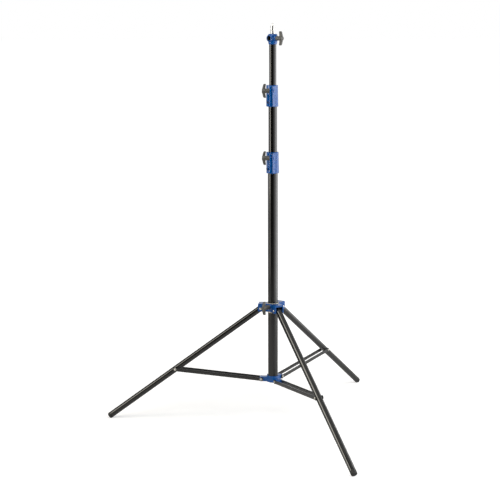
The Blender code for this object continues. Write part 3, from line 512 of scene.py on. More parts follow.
def moulded_grain(net):
    """The fine sparked grain of a mould, as a height."""
    return (net.noise(net.inputs["Scale"], 3.0, 0.6),)


def settled_dust(net):
    """A thin dust on what faces up, in patches."""
    normal = net.node("NewGeometry").outputs["Normal"]
    up = net.node("SeparateXYZ", (("Vector", normal),)).outputs["Z"]
    return (net.times(net.spread(up, 0.2, 1.0), net.spread(net.noise(60.0, 6.0, 0.7), 0.45, 0.75)),)


def shared_effect(make, outputs, number=None):
    """A node group of what a function makes, with the place and perhaps a number as its inputs."""
    tree = bpy.data.node_groups.new(make.__name__, "ShaderNodeTree")
    tree.interface.new_socket("Place", in_out="INPUT", socket_type="NodeSocketVector")
    if number:
        tree.interface.new_socket(number, in_out="INPUT", socket_type="NodeSocketFloat")
    for label in outputs:
        tree.interface.new_socket(label, in_out="OUTPUT", socket_type="NodeSocketFloat")
    inputs = tree.nodes.new("NodeGroupInput").outputs
    ends = tree.nodes.new("NodeGroupOutput").inputs
    for label, made in zip(outputs, make(Net(tree, inputs["Place"], inputs))):
        tree.links.new(made, ends[label])
    return tree


EFFECTS = {
    "drawn_lines": shared_effect(drawn_lines, ("Lines", "Rubs")),
    "handling": shared_effect(handling, ("Smudge",)),
    "edge_wear": shared_effect(edge_wear, ("Worn",), "Amount"),
    "moulded_grain": shared_effect(moulded_grain, ("Height",), "Scale"),
    "settled_dust": shared_effect(settled_dust, ("Dust",)),
}


class Finish(Net):
    """A material of one Principled shader, with the slot of the pieces that wear it."""

    def __init__(self, name, slot=None, own=True):
        self.material = bpy.data.materials.new(name)
        self.material.use_nodes = True
        super().__init__(self.material.node_tree)
        self.slot = slot
        self.shader = self.tree.nodes["Principled BSDF"]
        if own:
            self.place = self.node("Attribute", attribute_name="own").outputs["Vector"]
        else:
            self.place = self.node("TexCoord").outputs["Object"]

    def effect(self, name, output, **values):
        """One of the shared effects, on this material's place."""
        values = (("Place", self.place), *values.items())
        return self.node("Group", values, node_tree=EFFECTS[name]).outputs[output]

    def worn(self, amount):
        """Where the coat has rubbed through."""
        return self.effect("edge_wear", "Worn", Amount=amount)

    def grain(self, scale):
        """The height of a mould's grain."""
        return self.effect("moulded_grain", "Height", Scale=scale)

    def dust(self, amount):
        """An amount of dust."""
        return self.times(self.effect("settled_dust", "Dust"), amount)

    def smudged(self, amount, base):
        """A base value with an amount of the smudges from hands."""
        return self.plus(self.times(self.effect("handling", "Smudge"), amount), base)

    def varied(self, pattern, low, high):
        """A value that goes from low to high with the middle of a pattern's range."""
        return self.spread(pattern, 0.3, 0.7, low, high)

    def mix(self, factor, one, two):
        """A colour between two others."""
        return self.node("Mix", ((0, factor), (6, one), (7, two)), data_type="RGBA").outputs[2]

    def set(self, **values):
        """Puts values or sockets into the shader, by the name of its inputs."""
        for key, value in values.items():
            self.feed(self.shader.inputs[key.replace("_", " ")], value)

    def bump(self, height, strength, distance):
        """Feeds a height into the shader's normal, and gives the finish."""
        values = (("Height", height), ("Strength", strength), ("Distance", distance))
        self.set(Normal=self.node("Bump", values).outputs["Normal"])
        return self


def tube_finish(name, dark, warm, rough):
    """Dark glossy coat on a drawn tube, a little olive where it catches light."""
    made = Finish(name, "tube")
    lines = made.effect("drawn_lines", "Lines")
    rubs = made.times(made.effect("drawn_lines", "Rubs"), 0.35)
    rubbed = made.mix(rubs, made.mix(lines, dark, warm), tuple(1.8 * c for c in warm))
    made.set(
        Base_Color=made.mix(made.dust(0.10), rubbed, (0.16, 0.15, 0.13)),
        IOR=1.62,
        Roughness=made.smudged(0.07, made.varied(lines, rough - 0.02, rough + 0.03)),
    )
    return made.bump(lines, 0.01, 0.00005)


def casting_finish():
    """Deep blue lacquer over a cast skin, with the metal showing where its edges have rubbed."""
    made = Finish("blue_lacquer", "casting")
    worn = made.worn(0.33)
    blue = made.mix(made.noise(45.0), (0.0005, 0.064, 0.262), (0.0010, 0.080, 0.315))
    made.set(
        Base_Color=made.mix(worn, blue, (0.42, 0.43, 0.45)),
        Metallic=made.plus(made.times(worn, 0.9), 0.05),
        Roughness=made.smudged(0.10, 0.22),
        Specular_IOR_Level=0.0,
        Coat_Weight=made.maths("SUBTRACT", 1.0, worn),
        Coat_Roughness=0.07,
        Coat_IOR=1.50,
    )
    return made.bump(made.noise(190.0), 0.010, 0.0002)


def bore_shade_finish():
    """Bare cut metal on the wall of a casting's bore, with the cutter's rings; its very dark colour is
    painted shade for the deep hole.
    """
    made = Finish("bore_metal_painted_shade")
    rings = made.noise(700.0, 2.0, 0.6, (0.05, 0.05, 1.0))
    # The very dark metal colours here are painted shade for the inside of the deep hole; the rings are
    # the cutter's.
    metal = made.mix(rings, (0.030, 0.032, 0.036), (0.075, 0.078, 0.085))
    made.set(Base_Color=metal, Metallic=0.8, Roughness=made.varied(rings, 0.35, 0.55))
    return made.bump(rings, 0.15, 0.0001)


def knob_finish():
    """Warm dark grey nylon, with a mould's grain, polished where fingers turn it."""
    made = Finish("grey_nylon", "knob")
    grey = made.mix(made.noise(160.0, 4.0, 0.6), (0.060, 0.058, 0.052), (0.086, 0.083, 0.075))
    grey = made.mix(made.worn(0.30), grey, (0.16, 0.155, 0.14))
    made.set(Base_Color=grey, Roughness=made.smudged(-0.14, 0.52), IOR=1.53)
    return made.bump(made.grain(1300.0), 0.30, 0.0002)


def nylon_finish():
    """Natural nylon: cream, a little waxy, grubby where it rubs."""
    made = Finish("natural_nylon", "nylon")
    stain = made.noise(90.0, 5.0, 0.65)
    made.set(
        Base_Color=made.mix(made.spread(stain, 0.40, 0.75), (0.72, 0.67, 0.53), (0.50, 0.45, 0.33)),
        Roughness=made.varied(stain, 0.38, 0.55),
        Subsurface_Weight=0.10,
        Subsurface_Scale=0.002,
    )
    return made.bump(made.grain(900.0), 0.12, 0.0002)


def black_finish():
    """Black moulded plastic of the foot caps and plugs, scuffed grey at its edges."""
    made = Finish("black_moulding", "plug")
    grain = made.grain(1100.0)
    black = made.mix(made.worn(0.60), (0.014, 0.014, 0.013), (0.085, 0.082, 0.078))
    black = made.mix(made.dust(0.20), black, (0.28, 0.26, 0.23))
    made.set(Base_Color=black, Roughness=made.varied(grain, 0.42, 0.58))
    return made.bump(grain, 0.35, 0.0002)


def strut_finish():
    """Black coat on flat steel bar, with fine rolling lines and rubbed edges."""
    made = Finish("black_bar", "strut")
    roll = made.noise(500.0, 3.0, 0.6, (0.03, 1.0, 1.0))
    worn = made.worn(0.50)
    coat = made.mix(roll, (0.006, 0.006, 0.0055), (0.012, 0.012, 0.011))
    made.set(
        Base_Color=made.mix(worn, coat, (0.30, 0.29, 0.27)),
        Metallic=made.times(worn, 0.8),
        Roughness=made.smudged(0.12, 0.24),
        IOR=1.62,
    )
    return made.bump(roll, 0.02, 0.0001)


def steel_finish(name, colour, dull, rough):
    """Plated steel of rivets, studs and screws, dull in patches."""
    made = Finish(name, name)
    tool = made.noise(800.0, 3.0, 0.6)
    steel = made.mix(made.spread(made.noise(130.0, 4.0, 0.6), 0.35, 0.70), colour, dull)
    made.set(Base_Color=steel, Metallic=1.0, Roughness=made.varied(tool, rough, rough + 0.12))
    return made.bump(tool, 0.08, 0.0001)


def chrome_finish():
    """Polished chrome with the fine rings of a buffing wheel, and faint finger marks."""
    made = Finish("polished_chrome", "chrome")
    chrome = made.mix(made.effect("handling", "Smudge"), (0.80, 0.80, 0.79), (0.66, 0.65, 0.62))
    made.set(Base_Color=chrome, Metallic=1.0, Roughness=made.smudged(0.08, 0.26))
    return made.bump(made.noise(1400.0, 2.0, 0.5, (0.02, 0.02, 1.0)), 0.04, 0.0001)


def hidden_finish(name, low, high):
    """Moulded plastic of the guides and the plug that the tubes hide."""
    made = Finish(name, own=False)
    stain = made.noise(120.0, 4.0, 0.6)
    made.set(Base_Color=made.mix(stain, low, high), Roughness=made.varied(stain, 0.4, 0.6))
    return made.bump(made.grain(900.0), 0.15, 0.0002)


TUBE = tube_finish("black_tube", (0.0026, 0.0026, 0.0024), (0.0048, 0.0046, 0.0040), 0.10)
LEG = tube_finish("black_leg", (0.0032, 0.0031, 0.0028), (0.0062, 0.0057, 0.0046), 0.09)
CASTING = casting_finish()
# The bore's finish is painted shade: its metal is kept dark so that the socket looks like a dark hole.
BORE_SHADE = bore_shade_finish()
KNOB = knob_finish()
NYLON = nylon_finish()
BLACK = black_finish()
STRUT = strut_finish()
BRIGHT = steel_finish("bright_steel", (0.70, 0.68, 0.63), (0.42, 0.40, 0.36), 0.22)
DARK = steel_finish("dark_steel", (0.060, 0.060, 0.060), (0.030, 0.030, 0.030), 0.30)
CHROME = chrome_finish()


# Pieces


def finished(name, mesh, place, look, body, node_name=None):
    """Puts a mesh at its place as a piece that stands for a CAD node and rides on a body.

    The node has the piece's name without its first word, unless another name is given."""
    points = np.zeros(len(mesh.vertices) * 3)
    mesh.vertices.foreach_get("co", points)
    own = mesh.attributes.new("own", "FLOAT_VECTOR", "POINT")
    own.data.foreach_set("vector", points)
    mesh.transform(place)
    mesh.name = name
    mesh.materials.clear()
    mesh.materials.append(look.material)
    made = linked(name, mesh)
    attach(made, body)
    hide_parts(node_name or name.partition("_")[2])
    return made


def line_bore(mesh, place, radius):
    """Gives the bore's finish, whose dark colour is painted shade, to the faces on the wall of a bore
    that goes out along its place's Z.
    """
    mesh.materials.append(BORE_SHADE.material)
    middles = np.zeros(len(mesh.polygons) * 3)
    mesh.polygons.foreach_get("center", middles)
    back = np.array(place.inverted())
    middles = middles.reshape(-1, 3) @ back[:3, :3].T + back[:3, 3]
    across = np.hypot(middles[:, 0], middles[:, 1])
    wall = (across < radius + 0.0002) & (middles[:, 2] > 0.0)
    mesh.polygons.foreach_set("material_index", wall.astype(np.int32))


def sleeve(outer, inner, low, high, rims, sides=96, steps=4):
    """A tube or a bushing on local Z, its outer and its inner rims broken by small radii."""
    outside, inside = rims
    loop = [(outer, high, outside), (outer, low, outside), (inner, low, inside), (inner, high, inside)]
    return turned(loop, sides, True, steps)


def tube_mesh(outer, wall, low, high, sides):
    """A drawn tube on local Z."""
    return sleeve(outer, outer - wall, low, high, (0.00035, 0.00035), sides, 3)


def tubes():
    """The three tubes of the column."""
    for body, radius in (("base", BASE_TUBE_R), ("middle", MIDDLE_TUBE_R), ("top", TOP_TUBE_R)):
        name = body + "_tube"
        low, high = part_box(name)
        mesh = tube_mesh(radius, TUBE_WALL, low.z, high.z, 96)
        finished("drawn_" + name, mesh, at(0.0), TUBE, body)


def legs():
    """Each leg's tube, the plug round its pivot, and the cap on its foot."""
    end = LEG_LENGTH - FOOT_CAP_LENGTH
    plug_r = LEG_TUBE_R - LEG_WALL - GAP
    top = -LEG_TOP_REACH - GAP
    plug = [
        (0.0, LEG_PLUG_DEPTH, 0.0), (plug_r, LEG_PLUG_DEPTH, 0.0008), (plug_r, top, 0.0),
        (LEG_TUBE_R, top, 0.0), (LEG_TUBE_R, top - LEG_PLUG_HEAD, 0.0014),
        (0.0, top - LEG_PLUG_HEAD, 0.0),
    ]
    for number, azimuth in enumerate(LEG_AZIMUTHS, 1):
        place = outward(azimuth, LEG_PIVOT_Z, LEG_TILT, LEG_PIVOT_R) @ ALONG_X
        body = f"leg_{number}"
        mesh = tube_mesh(LEG_TUBE_R, LEG_WALL, -LEG_TOP_REACH, end - GAP, 72)
        finished(f"drawn_leg_tube_{number}", mesh, place, LEG, body)
        node_name = f"leg_top_plug_{number}"
        finished(f"moulded_leg_plug_{number}", turned(plug, 64), place, BLACK, body, node_name)
        made = finished(f"moulded_foot_cap_{number}", foot_cap(plug_r, end), place, BLACK, body)
        stand_on_floor(made.data)


def foot_cap(plug_r, end):
    """A foot's cap: a plug up the tube, two shallow grooves round it, and a rounded sole."""
    groove = 0.00055
    slope = 0.0003
    corners = [(0.0, LEG_LENGTH, 0.0), (LEG_TUBE_R - 0.0005, LEG_LENGTH, 0.0030)]
    for low, high in ((0.0048, 0.0062), (0.0020, 0.0034)):
        corners += [
            (LEG_TUBE_R, end + high, 0.0002), (LEG_TUBE_R - groove, end + high - slope, 0.0002),
            (LEG_TUBE_R - groove, end + low + slope, 0.0002), (LEG_TUBE_R, end + low, 0.0002),
        ]
    corners += [
        (LEG_TUBE_R, end, 0.0003), (plug_r, end, 0.0002),
        (plug_r, end - FOOT_PLUG_LENGTH, 0.0008), (0.0, end - FOOT_PLUG_LENGTH, 0.0),
    ]
    return turned(corners, 96, steps=5)


def stand_on_floor(mesh):
    """Flattens what would be under the floor onto it: z becomes max(z, 0)."""
    points = np.zeros(len(mesh.vertices) * 3)
    mesh.vertices.foreach_get("co", points)
    points[2::3] = np.maximum(points[2::3], 0.0)
    mesh.vertices.foreach_set("co", points)
    mesh.update()


def head_rows(base):
    """Rows of a formed rivet head on top of a height: a low dome with the tool's ring in it."""
    radius, height, dimple = PIN_HEAD_R, PIN_HEAD_H, 0.0011
    return [
        (0.0, base + height * 0.78, 0.0), (dimple, base + height * 0.78, 0.0002),
        (dimple * 1.6, base + height, 0.0003), (radius * 0.72, base + height * 0.86, 0.0008),
        (radius, base + height * 0.40, 0.0006), (radius, base, 0.00015),
    ]


def pins(name, half, z, radius, body):
    """The three pins of the legs or of the struts, each across its lug, its ends formed into heads."""
    upper = [*head_rows(half), (PIN_R, half, 0.0)]
    lower = [(r, -height, fillet) for r, height, fillet in reversed(upper)]
    for number, azimuth in enumerate(LEG_AZIMUTHS, 1):
        place = outward(azimuth, z, 0.0, radius) @ ALONG_Y
        finished(f"formed_{name}_{number}", turned(upper + lower, 48), place, BRIGHT, body)


def strut_outline(inset):
    """The outline of a bar less an inset: two eyes round its ends, joined by fillets to its sides.

    The eyes are arcs of radius R - inset, and between them the half height falls from the eye's to
    the bar's along a squared cosine, within 6 mm of each eye. The far end is the near one turned by
    half a turn about the bar's middle."""
    eye = STRUT_EYE_R - inset
    half = STRUT_HEIGHT / 2.0 - inset
    start = math.asin(half / eye) * 0.86
    angle = np.linspace(start, math.tau - start, 28)
    run = np.linspace(0.0, 1.0, 7)[1:-1]
    fall = eye * math.cos(start) + run * 0.006
    side = half + (eye * math.sin(start) - half) * np.cos(run * math.pi / 2.0) ** 2
    rows = np.concatenate([fall[::-1], eye * np.cos(angle), fall])
    heights = np.concatenate([side[::-1], eye * np.sin(angle), -side])
    near = np.stack([rows, heights], axis=1)
    return np.concatenate([near, (STRUT_LENGTH, 0.0) - near])


def bar_mesh():
    """A pressed flat bar in local XZ: its outline carried through its thickness, edges rounded.

    Row k of an edge is inset by r (1 - cos t) and lies r (1 - sin t) inside the face, for t from 0 to
    90 degrees, so the edge is a quarter round. The outline's middle line closes each face."""
    edge = 0.0006
    half = STRUT_THICKNESS / 2.0
    turns = np.linspace(math.pi / 2.0, 0.0, 4)
    rows = [(edge * (1.0 - math.cos(turn)), half - edge * (1.0 - math.sin(turn))) for turn in turns]
    rows += [(inset, -depth) for inset, depth in reversed(rows)]
    loops = [np.insert(strut_outline(inset), 1, depth, axis=1) for inset, depth in rows]
    columns = len(loops[0])
    count = len(rows) * columns
    faces = grid_faces(len(rows), columns, False).tolist()
    faces += [list(range(columns)), list(range(count - columns, count))]
    ends = [Matrix.Translation((x, 0, 0)) @ ALONG_Y for x in (0.0, STRUT_LENGTH)]
    holes = [drill(PIN_R + HOLE_GAP, -PAST, PAST, end) for end in ends]
    return machined(mesh_of(np.concatenate(loops), faces), *holes)


def struts():
    """Three pairs of bars, with the rivets that hold them to the legs."""
    middle = STRUT_INNER + STRUT_THICKNESS / 2.0
    outer = STRUT_INNER + STRUT_THICKNESS + GAP
    inner = LEG_TUBE_R + GAP
    rivet = [*head_rows(outer), (PIN_R, outer, 0.0), (PIN_R, inner, 0.0002), (0.0, inner, 0.0)]
    for number, azimuth in enumerate(LEG_AZIMUTHS, 1):
        place = outward(azimuth, HUB_PIVOT_Z, -STRUT_RISE, HUB_PIVOT_R)
        body = f"strut_{number}"
        for side, letter in ((-1.0, "a"), (1.0, "b")):
            shift = Matrix.Translation((0, side * middle, 0))
            finished(f"pressed_strut_bar_{number}{letter}", bar_mesh(), place @ shift, STRUT, body)
            turn = Matrix.Rotation(math.radians(-90.0 * side), 4, "X")
            spot = place @ Matrix.Translation((STRUT_LENGTH, 0, 0)) @ turn
            finished(f"formed_strut_rivet_{number}{letter}", turned(rivet, 48), spot, BRIGHT, body)


def hub_field(x, y, z):
    """A ring round the tube, and a lug to each side of which a bar is pinned."""
    ring = rod(z, x, y, HUB_RING_R, HUB_LOW, HUB_HIGH, 0.0014)
    for azimuth in LEG_AZIMUTHS:
        out, side = along(x, y, azimuth)
        reach = np.hypot(out - np.clip(out, 0.010, HUB_PIVOT_R), z) - HUB_LUG_R
        lug = meet(reach, slab(side, -HUB_LUG_HALF, HUB_LUG_HALF), 0.0012)
        ring = join(ring, lug, 0.0030)
    return meet(ring, slab(z, HUB_LOW, HUB_HIGH), 0.0010)


def lower_hub():
    """The hub's casting, its three pins and its screw."""
    mesh = cast(hub_field, (-0.052, -0.052, -0.012), (0.052, 0.052, 0.016), 0.0009)
    bore_r = BASE_TUBE_R + GAP
    mesh = machined(mesh, through_bore(0.0006, (bore_r, HUB_LOW), (bore_r, HUB_HIGH)))
    finished("cast_lower_hub", mesh, at(HUB_PIVOT_Z), CASTING, "base")
    pins("hub_pin", STRUT_INNER + STRUT_THICKNESS + GAP, HUB_PIVOT_Z, HUB_PIVOT_R, "base")
    mesh = socket_screw(HUB_SCREW_SEAT, 0.0028, 0.0065, 0.0014, 0.0022, 0.0020, bore_r)
    place = outward(HUB_SCREW_AZIMUTH, HUB_PIVOT_Z + HUB_SCREW_Z) @ ALONG_X
    finished("turned_hub_screw", mesh, place, DARK, "base")


def socket_screw(seat, radius, height, key, depth, shank, end):
    """A screw on local Z: its head, with a key socket of a given size and depth, and its shank."""
    top = seat + height
    rows = [
        (0.0, top - depth, 0.0), (key, top - depth, 0.0), (key, top - 0.0001, 0.0),
        (key + 0.0002, top, 0.0), (radius, top, 0.0004), (radius, seat, 0.0002),
        (shank, seat, 0.0), (shank, end, 0.0), (0.0, end, 0.0),
    ]
    return turned(rows, 48, hexed=(key + 0.0001, seat + 0.0005, top + 0.0001))


def collar_field(x, y, z):
    """The leg collar: a ring, three arms forked over the legs, and a boss for the knob."""
    shape = rod(z, x, y, COLLAR_RING_R, COLLAR_RING_LOW, COLLAR_RING_HIGH, 0.0012)
    tall = slab(z, COLLAR_ARM_LOW, COLLAR_ARM_HIGH)
    arms = [along(x, y, azimuth) for azimuth in LEG_AZIMUTHS]
    for out, side in arms:
        view = meet(tall, slab(out, -COLLAR_ARM_END, COLLAR_ARM_END), 0.0050)
        view = meet(view, -out, 0.0010)
        arm = meet(view, slab(side, -COLLAR_ARM_HALF, COLLAR_ARM_HALF), 0.0016)
        shape = join(shape, arm, 0.0035)
    turn, height, reach = COLLAR_KNOB_AZIMUTH, COLLAR_KNOB_Z, COLLAR_BOSS_REACH
    shape = with_boss(shape, (x, y, z), turn, height, COLLAR_BOSS_R, reach, 0.0009, 0.0020)
    for out, side in arms:
        roof = meet(slab(side, -COLLAR_POCKET_HALF, COLLAR_POCKET_HALF), z - COLLAR_ROOF_Z, 0.0022)
        pocket = meet(roof, COLLAR_RING_R + 0.0010 - out, 0.0010)
        shape = less(shape, pocket, 0.0009)
    return meet(shape, tall, 0.0010)


def leg_collar():
    """The sliding collar's casting, its bushing, its knob and the three leg pins."""
    mesh = cast(collar_field, (-0.054, -0.056, -0.011), (0.046, 0.056, 0.020), 0.0009)
    bore = through_bore(0.0005, (COLLAR_BORE, COLLAR_RING_LOW), (COLLAR_BORE, COLLAR_RING_HIGH))
    toward = level(COLLAR_KNOB_AZIMUTH, COLLAR_KNOB_Z)
    hole = drill(STUD_R + HOLE_GAP, PAST, 0.05, toward, COLLAR_BOSS_REACH)
    body = "leg_carrier"
    finished("cast_leg_collar", machined(mesh, bore, hole), at(LEG_PIVOT_Z), CASTING, body)
    mesh = sleeve(0.0200, 0.0178, -0.0136, 0.0202, (0.0006, 0.0004))
    finished("turned_leg_collar_bushing", mesh, at(LEG_PIVOT_Z), NYLON, body)
    pins("leg_pin", COLLAR_PIN_HALF, LEG_PIVOT_Z, LEG_PIVOT_R, body)
    start = COLLAR_BOSS_REACH + GAP
    place = outward(COLLAR_KNOB_AZIMUTH, LEG_PIVOT_Z + COLLAR_KNOB_Z, 0.0, start)
    t_knob("leg_collar", place, COLLAR_KNOB_NECK, start - COLLAR_STUD_END)


def knob_field(neck):
    """The field of a T-knob on local X: a fluted neck, a swept bar with tapered ends, and a cap."""

    def field(x, y, z):
        share = np.clip(z / 0.0223, -1.1, 1.1) ** 2
        inner = neck - 0.0024 * share
        outer = neck + 0.0105 - 0.0044 * share
        middle = (inner + outer) / 2.0
        half = (outer - inner) / 2.0
        width = 0.00475 - 0.0006 * share
        bar = meet(np.abs(x - middle) - half, np.abs(y) - width, 0.0022)
        bar = meet(bar, np.abs(z) - KNOB_HALF_SPAN, 0.0026)
        around = np.arctan2(z, y)
        flute = 0.00022 * np.cos(12.0 * around) * np.clip(x / 0.003, 0.0, 1.0)
        taper = 0.0082 - 0.0012 * np.clip(x / neck, 0.0, 1.0)
        stem = meet(np.hypot(y, z) - taper + flute, slab(x, 0.0, neck + 0.004), 0.0008)
        cap = rod(x, y, z, KNOB_CAP_R, neck - 0.001, neck + KNOB_CAP_OUT, 0.0014)
        shape = join(join(bar, stem, 0.0028), cap, 0.0016)
        dish = rod(x, y, z, 0.0046, neck + 0.0104, neck + 0.02, 0.0003)
        return less(shape, dish, 0.0005)

    return field


def t_knob(name, place, neck, reach_in):
    """A moulded T-knob whose neck starts at the place, and the threaded stud moulded into it."""
    body = name + "_t_knob"
    high = (neck + KNOB_CAP_OUT, KNOB_HALF_DEPTH, KNOB_HALF_SPAN)
    mesh = cast(knob_field(neck), (0.0, -KNOB_HALF_DEPTH, -KNOB_HALF_SPAN), high, 0.00062)
    mesh = machined(mesh, drill(STUD_R + HOLE_GAP, -PAST, STUD_IN_KNOB + GAP, ALONG_X))
    finished(f"moulded_{name}_knob", mesh, place, KNOB, body)
    top = STUD_IN_KNOB - 0.0002
    corners = [
        (0.0, top, 0.0), (STUD_R, top, 0.0004), (STUD_R, STUD_TIP - reach_in, 0.0),
        (STUD_R - STUD_TIP, -reach_in, 0.0002), (0.0, -reach_in, 0.0),
    ]
    rows = dense(rounded(corners), -reach_in, STUD_IN_KNOB, 0.00018)
    mesh = turned(rows, 40, thread=(-reach_in, 0.0, 0.00125, 0.00060))
    finished(f"threaded_{name}_stud", mesh, place @ ALONG_X, BRIGHT, body)


def lock_field(seat):
    """The field of a lock collar: a tapered body and its flank, two ears, and bosses for the
    thread and for the fixing screw."""
    foot = seat + LOCK_FOOT_WALL
    top = seat + LOCK_TOP_WALL
    flank_r = foot - 0.0028
    bolt_y = -foot - LOCK_BOLT_OUT
    ear_end = bolt_y - LOCK_EAR_PAST_BOLT
    lean = math.atan2(0.0060, -seat * 0.8 - ear_end)

    def field(x, y, z):
        wall = foot + (top - foot) * np.clip(z / LOCK_HEIGHT, 0.0, 1.0)
        body = meet(np.hypot(x, y) - wall, slab(z, 0.0, LOCK_HEIGHT), 0.0013)
        flank = np.hypot(x - flank_r + 0.0230, y - 0.0024) - flank_r
        flank = meet(flank, slab(z, 0.0006, LOCK_HEIGHT - 0.0006), 0.0015)
        shape = join(body, flank, 0.0010)
        right = (x - 0.0034) * math.cos(lean) - (y - ear_end) * math.sin(lean)
        ears = meet(meet(-LOCK_LEFT_EAR - x, right, 0.0012), ear_end - y, 0.0022)
        ears = meet(ears, y + 0.004, 0.0010)
        ears = meet(ears, slab(z, 0.0018, LOCK_HEIGHT - 0.0018), 0.0022)
        shape = join(shape, ears, 0.0032)
        boss = rod(x, y - bolt_y, z - LOCK_KNOB_Z, 0.0062, -0.002, LOCK_BOSS_OUT, 0.0008)
        shape = join(shape, boss, 0.0014)
        turn, height, reach = LOCK_SCREW_AZIMUTH, LOCK_SCREW_Z, foot + LOCK_SCREW_OUT
        shape = with_boss(shape, (x, y, z), turn, height, 0.0046, reach, 0.0009, 0.0018)
        return meet(shape, slab(z, 0.0, LOCK_HEIGHT), 0.0013)

    return field


def lock_collar(name, lower_r, upper_r, z, body):
    """A lock collar's casting with its bore, slit and holes, its bushing, screw and knob."""
    seat = lower_r + GAP
    lip = upper_r + LOCK_LIP_GAP
    step = LOCK_HEIGHT - LOCK_LIP
    foot = seat + LOCK_FOOT_WALL
    bolt_y = -foot - LOCK_BOLT_OUT
    place = at(z)
    screw_place = level(LOCK_SCREW_AZIMUTH, LOCK_SCREW_Z)
    boss_end = foot + LOCK_SCREW_OUT
    sunk = boss_end - LOCK_SCREW_SUNK
    mouth = LOCK_SCREW_HOLE_R + 0.0004
    corner = (foot + 0.0005, foot + 0.0005, LOCK_HEIGHT)
    mesh = cast(lock_field(seat), (-0.0235, bolt_y - 0.0090, 0.0), corner, 0.0009)
    bore = through_bore(0.0006, (seat, 0.0), (lip, LOCK_HEIGHT), [(seat, step), (lip, step)])
    leftward = Matrix.Translation((0, bolt_y, LOCK_KNOB_Z)) @ Matrix.Rotation(math.radians(-90.0), 4, "Y")
    stud_hole = drill(STUD_R + HOLE_GAP, LOCK_STUD_SHORT - LOCK_BOSS_OUT, 0.03, leftward, LOCK_LEFT_EAR)
    rows = [
        (0.0, seat * 0.8), (LOCK_SHANK_HOLE_R, seat * 0.8), (LOCK_SHANK_HOLE_R, sunk),
        (LOCK_SCREW_HOLE_R, sunk), (LOCK_SCREW_HOLE_R, boss_end - 0.0004), (mouth, boss_end),
        (mouth, boss_end + PAST), (0.0, boss_end + PAST),
    ]
    screw_hole = turned(rows, 64)
    screw_hole.transform(screw_place)
    slit = slit_mesh(bolt_y - LOCK_EAR_PAST_BOLT - PAST)
    mesh = machined(mesh, bore, slit, stud_hole, screw_hole)
    finished(f"cast_{name}_collar", mesh, place, CASTING, body)
    end = lower_r - TUBE_WALL + GAP
    mesh = socket_screw(sunk + GAP, 0.0030, 0.0024, 0.0013, 0.0015, 0.0018, end)
    finished(f"turned_{name}_screw", mesh, place @ screw_place, DARK, body)
    mesh = sleeve(lower_r, upper_r + GAP, LOCK_SEAT + GAP, step - GAP, (0.0004, 0.0004))
    finished(f"turned_{name}_bushing", mesh, place, NYLON, body)
    place = place @ Matrix.Translation((-LOCK_LEFT_EAR - GAP, bolt_y, LOCK_KNOB_Z))
    place = place @ Matrix.Rotation(math.pi, 4, "Z")
    t_knob(name, place, KNOB_NECK, LOCK_LEFT_EAR + LOCK_BOSS_OUT - LOCK_STUD_SHORT)


def slit_mesh(far):
    """A saw's cut: a thin block through the ears and into the bore."""
    half = 0.0010
    corners = [(-half, far), (half, far), (half, -0.006), (-half, -0.006)]
    points = [(x, y, z) for z in (-PAST, LOCK_HEIGHT + PAST) for x, y in corners]
    faces = [(3, 2, 1, 0), (4, 5, 6, 7)]
    faces += [(i, (i + 1) % 4, 4 + (i + 1) % 4, 4 + i) for i in range(4)]
    return mesh_of(points, faces)


def head_field(x, y, z):
    """The head: a round body narrower at its foot, with a boss for each level bore."""
    radius = HEAD_FOOT_R + (HEAD_R - HEAD_FOOT_R) * np.clip(z / 0.0100, 0.0, 1.0)
    body = meet(np.hypot(x, y) - radius, z - HEAD_HEIGHT, 0.0048)
    body = meet(body, -z, 0.0010)
    cross = (HEAD_CROSS_AZIMUTH, HEAD_CROSS_Z, HEAD_CROSS_BOSS_R, HEAD_REACH, 0.0010, 0.0020)
    knob = (HEAD_KNOB_AZIMUTH, HEAD_CROSS_Z, HEAD_KNOB_BOSS_R, HEAD_REACH, 0.0009, 0.0020)
    return with_boss(with_boss(body, (x, y, z), *cross), (x, y, z), *knob)


def head():
    """The head's casting with its sockets, its rivet and its knob."""
    mesh = cast(head_field, (-0.0205, -0.0205, 0.0), (0.0205, 0.0205, HEAD_HEIGHT), 0.0007)
    crossing = level(HEAD_CROSS_AZIMUTH, HEAD_CROSS_Z)
    knob_side = level(HEAD_KNOB_AZIMUTH, HEAD_CROSS_Z)
    bottom = HEAD_HEIGHT - HEAD_SOCKET_DEPTH
    mesh = machined(
        mesh,
        drill(SOCKET_R, bottom, HEAD_HEIGHT + PAST, UPRIGHT, HEAD_HEIGHT, 0.0006),
        drill(SOCKET_R, 0.0, 0.04, crossing, HEAD_REACH, 0.0006),
        drill(STUD_R + HOLE_GAP, 0.004, 0.04, knob_side, HEAD_REACH, 0.0004),
        drill(TOP_TUBE_R + GAP, -PAST, HEAD_SKIRT_DEPTH),
    )
    place = at(HEAD_Z)
    made = finished("cast_head", mesh, place, CASTING, "top", "head_casting")
    # The crossing socket's wall gets the bore's finish, which is painted shade for the hole.
    line_bore(made.data, place @ crossing, SOCKET_R)
    outer = TOP_TUBE_R + GAP
    rows = [
        (0.0, outer + 0.0006, 0.0), (0.0008, outer + 0.0006, 0.0002), (0.0012, outer + 0.0010, 0.0002),
        (0.0022, outer + 0.0003, 0.0003), (0.0022, 0.0073, 0.0), (0.0, 0.0073, 0.0),
    ]
    place = outward(HEAD_RIVET_AZIMUTH, HEAD_Z - HEAD_SKIRT_DEPTH) @ ALONG_X
    finished("formed_head_rivet", turned(rows, 40), place, DARK, "top")
    start = HEAD_REACH + GAP
    place = outward(HEAD_KNOB_AZIMUTH, HEAD_Z + HEAD_CROSS_Z, 0.0, start)
    t_knob("head", place, KNOB_NECK, start - HEAD_STUD_END)


